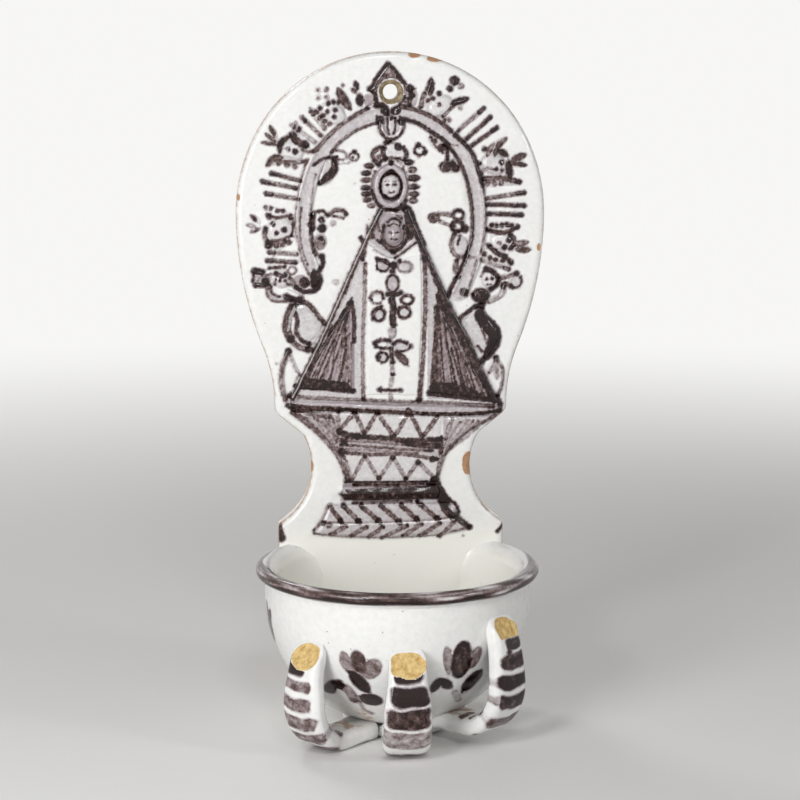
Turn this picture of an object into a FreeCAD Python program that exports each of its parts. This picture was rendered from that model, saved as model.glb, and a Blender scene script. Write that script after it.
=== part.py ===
# Holy water stoup for a wall: a glazed earthenware plate with a sprigged devotional relief,
# a thrown bowl luted to its foot, and three strap scrolls under the bowl.
#
# Frame, in millimetres: the origin is the axis of the hanging hole where it meets the wall.
# +X is to the right seen from the front, the front faces -Y, +Z is up.

import FreeCAD, Part
import math
import os

import Sketcher
from FreeCAD import Rotation, Vector

doc = FreeCAD.newDocument("HolyWaterStoup")
sheet = doc.addObject("Spreadsheet::Sheet", "Sizes")

# Driving dimensions: name, value, what it measures.
DIMENSIONS = [
    ("plate_thickness", 9.0, "slab, wall plane to front face"),
    ("plate_edge_round", 2.4, "rounding of the slab's front edge"),
    ("plate_top", 15.4, "top of the slab above the hanging hole"),
    ("plate_half_width", 59.8, "half the greatest width"),
    ("widest_drop", 47.0, "hole down to the widest level"),
    ("crown_turn", 60.0, "degrees of the top arc on each side"),
    ("flank_drop", 98.0, "hole down to the end of the flank"),
    ("flank_inset", 9.8, "widest level in to the end of the flank"),
    ("shoulder_drop", 124.0, "hole down to the shoulder"),
    ("shoulder_inset", 4.5, "end of the flank in to the shoulder"),
    ("shoulder_round", 5.0, "rounding of the shoulder"),
    ("waist_start_drop", 133.0, "hole down to the start of the waist"),
    ("waist_inset", 11.0, "shoulder in to the start of the waist"),
    ("waist_hollow", 7.6, "waist in from its chord"),
    ("waist_round", 8.0, "rounding into the waist"),
    ("notch_rise", 8.0, "rim up to the slab's corner over the bowl"),
    ("heel_margin", 1.0, "heel of the slab past the rim on each side"),
    ("notch_round", 2.4, "rounding of that corner"),
    ("heel_drop", 11.5, "rim down to the centre of the round heel"),
    ("hole_radius", 3.0, "hanging hole"),
    ("hole_chamfer", 2.0, "bare bevel round the hole's mouth"),
    ("rim_drop", 176.5, "hole down to the top of the rim"),
    ("bowl_stand_off", 32.0, "bowl axis in front of the slab's front face"),
    ("bowl_radius", 50.5, "outside of the bowl's wall"),
    ("bowl_wall", 5.2, "wall of the bowl"),
    ("bowl_floor", 6.0, "floor of the bowl"),
    ("bowl_shoulder", 12.0, "rim down to where the wall turns round"),
    ("bowl_foot_radius", 17.15, "flat underside of the bowl"),
    ("rim_overhang", 3.4, "rolled rim beyond the bowl's wall"),
    ("rim_roll", 2.4, "radius of the rolled rim"),
    ("lip_round", 7.0, "rounding from the rim into the bowl"),
    ("lip_drop", 5.0, "rim down to where that rounding ends"),
    ("strap_thickness", 7.0, "scroll strap"),
    ("strap_width", 15.5, "scroll strap"),
    ("strap_edge_round", 2.6, "corners of the strap's section"),
    ("strap_stand_out", 4.0, "bowl's wall out to the strap's middle at its outermost"),
    ("strap_bend", 17.0, "bend at the foot of the strap"),
    ("strap_hang", 1.2, "bowl's underside down to the strap's middle"),
    ("right_strap_lift", 4.5, "foot of the right strap above the feet of the others"),
    ("strap_tip_rise", 0.8, "top of the scar up to the end of the strap's middle line"),
    ("strap_tip_sink", 0.9, "bowl's wall in to that end"),
    ("left_strap_turn", 43.0, "degrees from the front, left strap"),
    ("right_strap_turn", 44.0, "degrees from the front, right strap"),
    ("scar_drop", 21.0, "rim down to the top of the scar, left and centre straps"),
    ("scar_drop_right", 12.5, "rim down to the top of the scar, right strap"),
    ("scar_height", 9.5, "height of a scar"),
    ("scar_bite", 7.0, "how far a scar leans in from bottom to top"),
    ("luting_gap", 0.2, "between a strap and the curved wall it is luted to"),
    ("root_margin", 3.6, "button where the straps meet, past the bowl's flat underside"),
    ("root_thickness", 4.2, "button where the straps meet"),
    ("root_round", 2.1, "rounding of the button's lower edge"),
    ("root_clearance", 0.4, "between the button and a strap's inner end"),
    ("sprig_clearance", 0.4, "between sprigs that meet edge to edge"),
    ("sprig_round", 0.7, "softening of a sprig's edges"),
    ("fine_round", 0.2, "softening of a thin sprig's edges"),
    ("aureole_drop", 48.0, "hole down to the middle of the aureole"),
    ("aureole_half_width", 36.4, "outside of the aureole band"),
    ("aureole_half_height", 43.0, "outside of the aureole band"),
    ("aureole_band_width", 5.8, "aureole band"),
    ("aureole_relief", 1.8, "aureole band"),
    ("aureole_opening", 26.0, "middle of the aureole down to its open ends"),
    ("ray_length", 13.0, "ray bar"),
    ("ray_width", 1.5, "ray bar"),
    ("ray_relief", 0.9, "ray bar"),
    ("cherub_reach", 7.0, "aureole band out to a cherub's head"),
    ("cherub_radius", 3.4, "cherub's head"),
    ("cherub_relief", 2.2, "cherub's head"),
    ("wing_spread", 6.0, "cherub's head to the middle of its wing"),
    ("wing_length", 9.0, "cherub's wing"),
    ("wing_width", 3.0, "cherub's wing"),
    ("wing_relief", 1.2, "cherub's wing"),
    ("blossom_reach", 11.8, "aureole band out to the root of an outer blossom"),
    ("petal_reach", 4.2, "root of a blossom to the middle of its petal"),
    ("petal_length", 4.6, "petal"),
    ("petal_width", 1.7, "petal"),
    ("petal_relief", 1.1, "petal"),
    ("sprig_inset", 6.4, "unit by which the inner sprigs stand in from the aureole band"),
    ("inner_petal_width", 2.8, "petal of an inner sprig"),
    ("knot_drop", 15.2, "hole down to the middle of the aureole's knot"),
    ("knot_height", 6.4, "loop of the knot"),
    ("knot_width", 2.2, "loop of the knot"),
    ("knot_spread", 3.2, "middle bar to a loop of the knot"),
    ("hood_half_width", 7.8, "hood over the hanging hole"),
    ("hood_height", 11.2, "hole up to the hood's tip"),
    ("hood_skirt", 1.4, "hole down to the hood's lower edge"),
    ("hood_bore", 5.4, "opening of the hood round the hole"),
    ("hood_bulge", 1.95, "bulge of the hood's sides"),
    ("hood_relief", 1.0, "hood"),
    ("face_drop", 36.0, "hole down to the middle of the face"),
    ("rostrillo_half_width", 6.4, "oval collar of light round the face"),
    ("rostrillo_half_height", 8.8, "oval collar of light round the face"),
    ("rostrillo_width", 2.1, "oval collar of light round the face"),
    ("rostrillo_relief", 1.8, "oval collar of light round the face"),
    ("face_relief", 2.8, "face"),
    ("pearl_offset", 2.7, "rostrillo out to the row of pearls"),
    ("pearl_lift", 4.0, "height of the pearls' oval over the rostrillo's"),
    ("pearl_radius", 1.05, "pearl"),
    ("crown_half_width", 6.4, "crown"),
    ("crown_height", 7.2, "crown, base to top of the middle lobe"),
    ("crown_base_half_width", 5.8, "crown at its base"),
    ("crown_lobe_half_width", 2.4, "middle lobe of the crown"),
    ("crown_cusp_height", 4.8, "base to the cusps beside the middle lobe"),
    ("crown_side_height", 2.6, "base to the outer ends of the side lobes"),
    ("crown_lobe_bulge", 0.8, "bulge of a crown lobe"),
    ("crown_relief", 1.7, "crown"),
    ("mantle_top_drop", 45.4, "hole down to the neck of the mantle"),
    ("mantle_top_half_width", 5.6, "mantle at the neck"),
    ("mantle_bottom_drop", 118.0, "hole down to the mantle's lower edge"),
    ("mantle_inset", 5.5, "slab's shoulder in to the mantle's lower corner"),
    ("mantle_bulge", 1.9, "slight bow of the mantle's sides"),
    ("mantle_relief", 1.8, "mantle"),
    ("collar_half_width", 9.6, "collar at its top"),
    ("collar_drop", 57.0, "hole down to the collar's top"),
    ("collar_depth", 7.6, "collar, top to point"),
    ("collar_width", 2.2, "collar, measured down the middle"),
    ("collar_relief", 0.8, "collar"),
    ("dress_half_width", 10.8, "dress panel"),
    ("dress_relief", 0.6, "dress panel"),
    ("hem_margin", 1.2, "panels up from the mantle's lower edge"),
    ("lining_gap", 4.6, "dress panel to the mantle's side panel"),
    ("lining_height", 35.0, "side panel"),
    ("lining_half_width", 21.0, "side panel along its foot"),
    ("lining_relief", 0.6, "side panel"),
    ("child_drop", 54.2, "hole down to the middle of the child's head"),
    ("child_half_width", 3.4, "child's head"),
    ("child_half_height", 4.2, "child's head"),
    ("child_relief", 2.2, "child's head"),
    ("child_crown_width", 5.6, "child's crown"),
    ("child_crown_base", 4.4, "child's crown along its base"),
    ("child_crown_notch", 2.2, "between the notches of the child's crown"),
    ("child_crown_height", 2.4, "child's crown"),
    ("child_crown_notch_height", 1.4, "base to the notches of the child's crown"),
    ("child_crown_relief", 1.2, "child's crown"),
    ("bow_drop", 66.6, "hole down to the bow on the dress"),
    ("bow_spread", 3.3, "middle of the bow to the middle of a loop"),
    ("flower_drop", 81.6, "hole down to the upper flower on the dress"),
    ("flower_pitch", 17.6, "upper flower to lower flower"),
    ("flower_reach", 5.2, "middle of a flower to the middle of a petal"),
    ("stem_petal_rise", 7.8, "middle of a flower up to the petal above it"),
    ("flower_petal_length", 5.0, "petal of a dress flower"),
    ("flower_petal_width", 3.0, "petal of a dress flower"),
    ("flower_relief", 0.9, "petal of a dress flower"),
    ("hem_height", 4.2, "band under the mantle"),
    ("hem_spread", 2.0, "mantle's lower corner out to the end of the band under it"),
    ("hem_relief", 2.2, "band under the mantle"),
    ("horn_height", 18.0, "tip of the crescent above the hem band"),
    ("horn_width", 2.6, "foot of a crescent tip"),
    ("horn_lean", 1.6, "crescent tip leans in over its height"),
    ("horn_bulge", 1.0, "bulge of the crescent's outer side"),
    ("horn_hollow", 0.8, "hollow of the crescent's inner side"),
    ("horn_relief", 1.0, "crescent tip"),
    ("angel_drop", 72.0, "hole down to the middle of an angel's head"),
    ("angel_radius", 3.2, "angel's head"),
    ("angel_relief", 2.0, "angel's head"),
    ("angel_horn_length", 9.0, "angel's horn"),
    ("angel_horn_width", 3.4, "angel's horn"),
    ("angel_horn_offset", 9.4, "angel's head to the middle of the horn"),
    ("robe_drop", 17.8, "angel's head down to the middle of the robe"),
    ("robe_inset", 1.3, "angel's head in to the middle of the robe"),
    ("robe_clearance", 7.4, "mantle's side out to the robe, along the level of its middle"),
    ("robe_height", 22.0, "angel's robe"),
    ("robe_width", 8.4, "angel's robe"),
    ("robe_relief", 1.5, "angel's robe"),
    ("tray_depth", 18.6, "flared part of the pedestal"),
    ("stem_depth", 10.0, "narrow part of the pedestal"),
    ("tray_hollow", 3.1, "hollow of the flare"),
    ("stem_half_width", 19.4, "pedestal at the end of the flare"),
    ("stem_foot_half_width", 17.4, "pedestal over the ring"),
    ("pedestal_relief", 2.2, "flare and stem of the pedestal"),
    ("ring_half_width", 19.2, "ring of the pedestal"),
    ("ring_height", 7.2, "ring of the pedestal"),
    ("ring_relief", 3.4, "ring of the pedestal"),
    ("foot_inset", 4.1, "start of the slab's waist in to the pedestal's foot"),
    ("foot_spread", 6.4, "foot of the pedestal, top to base on each side"),
    ("foot_height", 12.8, "foot of the pedestal"),
    ("foot_relief", 2.6, "foot of the pedestal"),
    ("foot_bevel", 1.6, "slope of the foot's edges"),
]


class Size:
    # A sheet value, or a sum, share or root of some: the number and the expression that gives it.
    def __init__(self, number, text):
        self.number = number
        self.text = text

    def __add__(self, other):
        other = as_size(other)
        return Size(self.number + other.number, f"({self.text} + {other.text})")

    def __sub__(self, other):
        other = as_size(other)
        return Size(self.number - other.number, f"({self.text} - {other.text})")

    def __mul__(self, other):
        other = as_size(other)
        return Size(self.number * other.number, f"({self.text} * {other.text})")

    def __truediv__(self, other):
        other = as_size(other)
        return Size(self.number / other.number, f"({self.text} / {other.text})")

    def __neg__(self):
        return Size(-self.number, f"(0 - {self.text})")

    def root(self):
        return Size(math.sqrt(self.number), f"sqrt({self.text})")


def as_size(value):
    if isinstance(value, Size):
        return value
    return Size(float(value), f"({float(value):.9g})")


def arc_radius(start, end, bulge):
    # Radius of the arc from one place to another that stands out from its chord by the bulge.
    across = as_size(end[0]) - start[0]
    up = as_size(end[1]) - start[1]
    return (across * across + up * up) / (bulge * 8) + bulge / 2


def fill_sheet():
    sizes = {}
    for row, (alias, value, note) in enumerate(DIMENSIONS, start=1):
        sheet.set(f"A{row}", alias)
        sheet.set(f"B{row}", str(value))
        sheet.set(f"C{row}", note)
        sheet.setAlias(f"B{row}", alias)
        sizes[alias] = Size(value, f"Sizes.{alias}")
    doc.recompute()
    return sizes


size = fill_sheet()
zero = as_size(0)
parts = []    # every finished sub-part, in the order it is made


def bind(item, path, value):
    item.setExpression(path, as_size(value).text)


def finished(item, label):
    item.Label = label
    parts.append(item)
    return item


# ---- sketches -------------------------------------------------------------------------------


def plane_of(body, role):
    return next(plane for plane in body.Origin.OriginFeatures if plane.Role == role)


def new_sketch(body, name, role="XZ_Plane"):
    sketch = body.newObject("Sketcher::SketchObject", name)
    sketch.AttachmentSupport = (plane_of(body, role), [""])
    sketch.MapMode = "FlatFace"
    return sketch


def arc_between(start, end, radius):
    # The short arc from start to end: a positive radius turns left on the way, a negative one right.
    chord = end - start
    half = chord.Length / 2
    rise = math.sqrt(max(radius * radius - half * half, 0.0))
    left = Vector(-chord.y, chord.x, 0).normalize()
    side = 1 if radius > 0 else -1
    centre = (start + end) * 0.5 + left * (rise * side)
    first, last = (start, end) if radius > 0 else (end, start)
    angles = [math.atan2(point.y - centre.y, point.x - centre.x) for point in (first, last)]
    if angles[1] < angles[0]:
        angles[1] += 2 * math.pi
    return Part.ArcOfCircle(Part.Circle(centre, Vector(0, 0, 1), abs(radius)), *angles)


def draw(sketch, corners, closed=True):
    # corners: (across, up) or (across, up, radius of the arc to the next corner). Every corner and
    # every radius is bound to its sizes.
    points = [Vector(as_size(c[0]).number, as_size(c[1]).number, 0) for c in corners]
    count = len(corners)
    spans = count if closed else count - 1
    ends = []
    for i in range(spans):
        start = points[i]
        end = points[(i + 1) % count]
        radius = as_size(corners[i][2]).number if len(corners[i]) > 2 else 0
        if radius:
            edge = sketch.addGeometry(arc_between(start, end, radius), False)
            ends.append((edge, 1, 2) if radius > 0 else (edge, 2, 1))
            datum = sketch.addConstraint(Sketcher.Constraint("Radius", edge, abs(radius)))
            reach = as_size(corners[i][2])
            bind(sketch, f"Constraints[{datum}]", reach if radius > 0 else -reach)
        else:
            edge = sketch.addGeometry(Part.LineSegment(start, end), False)
            ends.append((edge, 1, 2))
    for i in range(spans if closed else spans - 1):
        here = ends[i]
        after = ends[(i + 1) % spans]
        sketch.addConstraint(Sketcher.Constraint("Coincident", here[0], here[2], after[0], after[1]))
    for i in range(count):
        edge, pos = (ends[i][0], ends[i][1]) if i < spans else (ends[-1][0], ends[-1][2])
        for axis, value in (("DistanceX", corners[i][0]), ("DistanceY", corners[i][1])):
            datum = sketch.addConstraint(Sketcher.Constraint(axis, edge, pos, as_size(value).number))
            bind(sketch, f"Constraints[{datum}]", value)


def both_sides(corners):
    # Right-hand corners from top to bottom, followed by their mirror image from bottom to top.
    # A corner on the centre line isn't repeated.
    right = [tuple(as_size(value) for value in corner) for corner in corners]
    left = []
    for i in reversed(range(len(right))):
        across, up = right[i][:2]
        arc = right[i - 1][2:] if i > 0 else ()
        if across.number != 0:
            left.append((-across, up) + arc)
        elif i == len(right) - 1:
            right[i] = (across, up) + arc
    return right + left


# ---- sub-part makers ------------------------------------------------------------------------


def pad(body, sketch, height, name):
    solid = body.newObject("PartDesign::Pad", name)
    solid.Profile = sketch
    bind(solid, "Length", height)
    doc.recompute()
    return solid


def edges_at_front(feature, depth):
    # Names of the edges that lie wholly in the face furthest forward.
    names = []
    for number, edge in enumerate(feature.Shape.Edges, start=1):
        box = edge.BoundBox
        if abs(box.YMin + depth) < 0.01 and abs(box.YMax + depth) < 0.01:
            names.append(f"Edge{number}")
    return names


def soften(body, feature, depth, radius, kind="Fillet"):
    edge_work = body.newObject(f"PartDesign::{kind}", "FrontEdge")
    edge_work.Base = (feature, edges_at_front(feature, as_size(depth).number))
    bind(edge_work, "Radius" if kind == "Fillet" else "Size", radius)
    return edge_work


def relief(label, corners, height, seat, rounding="sprig_round", kind="Fillet"):
    # A flat sprig: an outline padded forward from its seat, its front edges softened or left crisp.
    body = doc.addObject("PartDesign::Body", label)
    outline = new_sketch(body, "Outline")
    draw(outline, corners)
    solid = pad(body, outline, height, "Relief")
    if rounding:
        soften(body, solid, height, size[rounding], kind)
    bind(body, "Placement.Base.y", -seat)
    return finished(body, label)


def dome(name, width, height, rise, across, up, seat, turn=0.0):
    # Half an ellipsoid that sits on its flat face; turn is in degrees, anticlockwise from the front.
    solid = doc.addObject("Part::Ellipsoid", name)
    bind(solid, "Radius1", rise)
    bind(solid, "Radius2", as_size(width) / 2)
    bind(solid, "Radius3", as_size(height) / 2)
    solid.Angle1 = 0
    solid.Placement.Rotation = Rotation(Vector(1, 0, 0), 90) * Rotation(Vector(0, 0, 1), turn)
    bind(solid, "Placement.Base.x", across)
    bind(solid, "Placement.Base.y", -seat)
    bind(solid, "Placement.Base.z", up)
    return solid


def group(label, members):
    compound = doc.addObject("Part::Compound", label)
    compound.Links = members
    return finished(compound, label)


def oval_slab(name, half_width, half_height, relief_height, drop, seat):
    curve = doc.addObject("Part::Ellipse", name + "_curve")
    bind(curve, "MajorRadius", half_height)
    bind(curve, "MinorRadius", half_width)
    curve.Placement.Rotation = Rotation(Vector(1, 0, 0), 90) * Rotation(Vector(0, 0, 1), 90)
    bind(curve, "Placement.Base.y", -seat)
    bind(curve, "Placement.Base.z", -drop)
    slab = doc.addObject("Part::Extrusion", name)
    slab.Base = curve
    slab.DirMode = "Custom"
    slab.Dir = Vector(0, -1, 0)
    slab.Solid = True
    bind(slab, "LengthFwd", relief_height)
    return slab


def oval_ring(name, half_width, half_height, width, relief_height, drop, seat):
    outer = oval_slab(name + "_outer", half_width, half_height, relief_height, drop, seat)
    inner = oval_slab(name + "_inner", half_width - width, half_height - width, relief_height, drop, seat)
    ring = doc.addObject("Part::Cut", name)
    ring.Base = outer
    ring.Tool = inner
    return ring


def difference(name, base, tool):
    cut = doc.addObject("Part::Cut", name)
    cut.Base = base
    cut.Tool = tool
    return cut


def round_front(item, name, depth, radius):
    # Rounds the front edges of a boolean result.
    doc.recompute()
    worked = doc.addObject("Part::Fillet", name)
    worked.Base = item
    numbers = [int(edge[4:]) for edge in edges_at_front(item, depth.number)]
    worked.Edges = [(number, radius.number, radius.number) for number in numbers]
    return worked


# ---- the slab -------------------------------------------------------------------------------


on_plate = size["plate_thickness"]
on_mantle = on_plate + size["mantle_relief"]
on_dress = on_mantle + size["dress_relief"]
flank_half = size["plate_half_width"] - size["flank_inset"]
shoulder_half = flank_half - size["shoulder_inset"]
waist_half = shoulder_half - size["waist_inset"]
mantle_half = shoulder_half - size["mantle_inset"]
rim_reach = size["bowl_radius"] + size["rim_overhang"]
notch_drop = size["rim_drop"] - size["notch_rise"]


def upright_edges(feature, level):
    # Names of the edges that cross the slab's thickness at a level.
    return [
        f"Edge{number}"
        for number, edge in enumerate(feature.Shape.Edges, start=1)
        if abs(edge.BoundBox.ZMax - level) < 0.01 and abs(edge.BoundBox.ZMin - level) < 0.01
        and edge.BoundBox.YLength > 1
    ]


def crown_arcs():
    # The top arc and the temple arc below it share a tangent where they meet, and the temple arc
    # is upright at the widest level: their radii, and the place where they meet.
    turn = math.radians(size["crown_turn"].number)
    sine, cosine = math.sin(turn), math.cos(turn)
    half = size["plate_half_width"]
    height = size["plate_top"] + size["widest_drop"]
    crown = (half - height * ((1 - sine) / cosine)) / (sine - (1 - sine) * (1 - cosine) / cosine)
    temple = (height - crown * (1 - cosine)) / cosine
    return crown, temple, (crown * sine, size["plate_top"] - crown * (1 - cosine))


def make_back_plate():
    body = doc.addObject("PartDesign::Body", "back_plate")
    outline = new_sketch(body, "Outline")
    crown, temple, meeting = crown_arcs()
    taper = size["flank_inset"]
    fall = size["flank_drop"] - size["widest_drop"]
    flank = (taper * taper + fall * fall) / (taper * 2)
    # The hollow under the flank goes on in the flank's own direction.
    run_in = size["shoulder_inset"]
    run_down = size["shoulder_drop"] - size["flank_drop"]
    turned = (fall * run_down - (flank - taper) * run_in) / flank
    hollow = (run_in * run_in + run_down * run_down) / (turned * 2)
    # The heel is as wide as the rim where the rim meets the slab, and a margin more.
    stand_off = size["bowl_stand_off"]
    heel = (rim_reach * rim_reach - stand_off * stand_off).root() + size["heel_margin"]
    heel_middle = -size["rim_drop"] - size["heel_drop"]
    waist_start = (waist_half, -size["waist_start_drop"])
    notch = (heel, -notch_drop)
    corners = both_sides([
        (0, size["plate_top"], -crown),
        (meeting[0], meeting[1], -temple),
        (size["plate_half_width"], -size["widest_drop"], -flank),
        (flank_half, -size["flank_drop"], hollow),
        (shoulder_half, -size["shoulder_drop"]),
        waist_start + (arc_radius(waist_start, notch, size["waist_hollow"]),),
        notch,
        (heel, heel_middle, -heel),
        (0, heel_middle - heel),
    ])
    draw(outline, corners)
    slab = pad(body, outline, on_plate, "Slab")
    for name, drop, rounding in (
        ("Shoulder", size["shoulder_drop"], size["shoulder_round"]),
        ("WaistStart", size["waist_start_drop"], size["waist_round"]),
        ("Notch", notch_drop, size["notch_round"]),
    ):
        corner = body.newObject("PartDesign::Fillet", name)
        corner.Base = (slab, upright_edges(slab, -drop.number))
        bind(corner, "Radius", rounding)
        doc.recompute()
        slab = corner
    rounded = soften(body, slab, on_plate, size["plate_edge_round"])
    doc.recompute()
    before = rounded.Shape.Volume

    centre = new_sketch(body, "HoleCentre")
    circle = centre.addGeometry(Part.Circle(Vector(), Vector(0, 0, 1), size["hole_radius"].number), False)
    centre.addConstraint(Sketcher.Constraint("Coincident", circle, 3, -1, 1))
    datum = centre.addConstraint(Sketcher.Constraint("Radius", circle, size["hole_radius"].number))
    bind(centre, f"Constraints[{datum}]", size["hole_radius"])
    hole = body.newObject("PartDesign::Pocket", "HangingHole")
    hole.Profile = centre
    hole.Type = "Length"
    hole.Reversed = True    # the sketch is on the wall side, so the cut runs forward
    bind(hole, "Length", on_plate)
    doc.recompute()
    removed = before - hole.Shape.Volume
    bore = math.pi * size["hole_radius"].number ** 2 * on_plate.number
    if abs(removed - bore) > 0.01 * bore:
        raise RuntimeError(f"hanging hole removed {removed:.1f} mm3 of {bore:.1f}")

    mouth = [
        f"Edge{number}"
        for number, edge in enumerate(hole.Shape.Edges, start=1)
        if abs(edge.BoundBox.YMin + on_plate.number) < 0.01
        and edge.BoundBox.DiagonalLength < 4 * size["hole_radius"].number
        and edge.CenterOfMass.Length < on_plate.number + 0.1
    ]
    bevel = body.newObject("PartDesign::Chamfer", "HoleBevel")
    bevel.Base = (hole, mouth)
    bind(bevel, "Size", size["hole_chamfer"])
    finished(body, "back_plate")


# ---- the bowl and its straps ----------------------------------------------------------------


axis_depth = on_plate + size["bowl_stand_off"]
foot_radius = size["bowl_foot_radius"]
wall_radius = size["bowl_radius"]
bowl_depth = size["bowl_shoulder"] + (wall_radius * wall_radius - foot_radius * foot_radius).root()
root_radius = foot_radius + size["root_margin"]


def wall_at(drop):
    # Radius of the bowl's outside at a level below the rim, in its round part.
    below = drop - size["bowl_shoulder"]
    return (wall_radius * wall_radius - below * below).root()


def make_bowl():
    outer = wall_radius
    inner = outer - size["bowl_wall"]
    turn_down = size["bowl_shoulder"]
    floor = bowl_depth - size["bowl_floor"]
    floor_half = (inner * inner - (floor - turn_down) * (floor - turn_down)).root()
    roll = size["rim_roll"]
    roll_centre = rim_reach - roll
    step = outer - roll_centre
    under_roll = roll + (roll * roll - step * step).root()

    body = doc.addObject("PartDesign::Body", "bowl")
    profile = new_sketch(body, "Profile")
    draw(profile, [
        (0, -bowl_depth),
        (foot_radius, -bowl_depth, outer),
        (outer, -turn_down),
        (outer, -under_roll, roll),
        (rim_reach, -roll, roll),
        (roll_centre, 0, size["lip_round"]),
        (inner, -size["lip_drop"]),
        (inner, -turn_down, -inner),
        (floor_half, -floor),
        (0, -floor),
    ])
    turned = body.newObject("PartDesign::Revolution", "Thrown")
    turned.Profile = profile
    turned.ReferenceAxis = (profile, ["V_Axis"])
    turned.Angle = 360
    doc.recompute()

    behind = new_sketch(body, "BehindThePlate", "XY_Plane")
    beyond = rim_reach + roll
    draw(behind, [
        (-beyond, size["bowl_stand_off"]),
        (beyond, size["bowl_stand_off"]),
        (beyond, beyond),
        (-beyond, beyond),
    ])
    flat = body.newObject("PartDesign::Pocket", "FlatBack")
    flat.Profile = behind
    flat.Type = "ThroughAll"
    flat.SideType = "Symmetric"
    doc.recompute()
    if flat.Shape.Volume > 0.97 * turned.Shape.Volume:
        raise RuntimeError("the bowl's flat back wasn't cut")
    bind(body, "Placement.Base.y", -axis_depth)
    bind(body, "Placement.Base.z", -size["rim_drop"])
    finished(body, "bowl")


def make_wall_clearance():
    # The bowl's round outside with the luting gap on it: the straps are cut to fit it.
    ball = doc.addObject("Part::Sphere", "wall_clearance")
    bind(ball, "Radius", wall_radius + size["luting_gap"])
    bind(ball, "Placement.Base.y", -axis_depth)
    bind(ball, "Placement.Base.z", -size["rim_drop"] - size["bowl_shoulder"])
    return ball


def make_strap(label, turn, scar_drop, lift, wall):
    # Drawn in the strap's own upright plane: X runs out from the bowl's axis, Z is up from the rim.
    low = bowl_depth + size["strap_hang"] - lift
    inner_end = root_radius + size["root_clearance"]
    bend = size["strap_bend"]
    reach = wall_radius + size["strap_stand_out"]
    tip_drop = scar_drop - size["strap_tip_rise"]
    tip_reach = wall_at(tip_drop) - size["strap_tip_sink"]
    rise = low - bend - tip_drop
    lean = reach - tip_reach
    upper_bend = (rise * rise + lean * lean) / (lean * 2)

    body = doc.addObject("PartDesign::Body", label + "_body")
    path = new_sketch(body, "Path")
    draw(path, [
        (inner_end, -low),
        (reach - bend, -low, bend),
        (reach, bend - low, upper_bend),
        (tip_reach, -tip_drop),
    ], closed=False)

    section = new_sketch(body, "Section", "YZ_Plane")
    bind(section, "AttachmentOffset.Base.z", inner_end)
    half = size["strap_width"] / 2
    side = half - size["strap_edge_round"]
    face = size["strap_thickness"] / 2
    edge = face - size["strap_edge_round"]
    corner = size["strap_edge_round"]
    draw(section, [
        (-side, -face - low),
        (side, -face - low, corner),
        (half, -edge - low),
        (half, edge - low, corner),
        (side, face - low),
        (-side, face - low, corner),
        (-half, edge - low),
        (-half, -edge - low, corner),
    ])
    band = body.newObject("PartDesign::AdditivePipe", "Band")
    band.Profile = section
    band.Spine = (path, ["Edge1", "Edge2", "Edge3"])
    doc.recompute()
    before = band.Shape.Volume

    # The free end broke away along a slope that faces out and up.
    fracture = new_sketch(body, "Fracture")
    scar_foot = scar_drop + size["scar_height"]
    scar_in = wall_at(scar_drop)
    beyond = reach + size["strap_thickness"]
    draw(fracture, [
        (scar_in + size["scar_bite"], -scar_foot),
        (beyond, -scar_foot),
        (beyond, -scar_drop + size["scar_height"]),
        (scar_in, -scar_drop + size["scar_height"]),
        (scar_in, -scar_drop),
    ])
    scar = body.newObject("PartDesign::Pocket", "Scar")
    scar.Profile = fracture
    scar.Type = "ThroughAll"
    scar.SideType = "Symmetric"
    doc.recompute()
    if scar.Shape.Volume > before - 1:
        raise RuntimeError(f"{label}: the scar wasn't cut")
    bind(body, "Placement.Base.y", -axis_depth)
    bind(body, "Placement.Base.z", -size["rim_drop"])
    bind(body, "Placement.Rotation.Angle", turn - 90)

    finished(difference(label, body, wall), label)


def make_strap_root():
    button = doc.addObject("Part::Cylinder", "strap_root_disc")
    bind(button, "Radius", root_radius)
    bind(button, "Height", size["root_thickness"])
    bind(button, "Placement.Base.y", -axis_depth)
    bind(button, "Placement.Base.z", -size["rim_drop"] - bowl_depth - size["root_thickness"])
    doc.recompute()
    low = button.Shape.BoundBox.ZMin
    lower = [
        (number, size["root_round"].number, size["root_round"].number)
        for number, edge in enumerate(button.Shape.Edges, start=1)
        if edge.BoundBox.ZMax < low + 0.01
    ]
    rounded = doc.addObject("Part::Fillet", "strap_root")
    rounded.Base = button
    rounded.Edges = lower
    finished(rounded, "strap_root")


# ---- the aureole and what sits round it -----------------------------------------------------


def on_oval(angle, reach):
    # A place at an angle round the aureole (0 is right, 90 is up), reach outside the band's outer
    # edge: (across, up).
    turn = math.radians(angle)
    across = (size["aureole_half_width"] + reach) * math.cos(turn)
    up = (size["aureole_half_height"] + reach) * math.sin(turn) - size["aureole_drop"]
    return across, up


def outward(angle):
    # Direction square to the aureole at that angle, in degrees.
    turn = math.radians(angle)
    steep = math.sin(turn) / size["aureole_half_height"].number
    flat = math.cos(turn) / size["aureole_half_width"].number
    return math.degrees(math.atan2(steep, flat))


def shifted(place, direction, distance):
    turn = math.radians(direction)
    distance = as_size(distance)
    return place[0] + distance * math.cos(turn), place[1] + distance * math.sin(turn)


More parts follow.
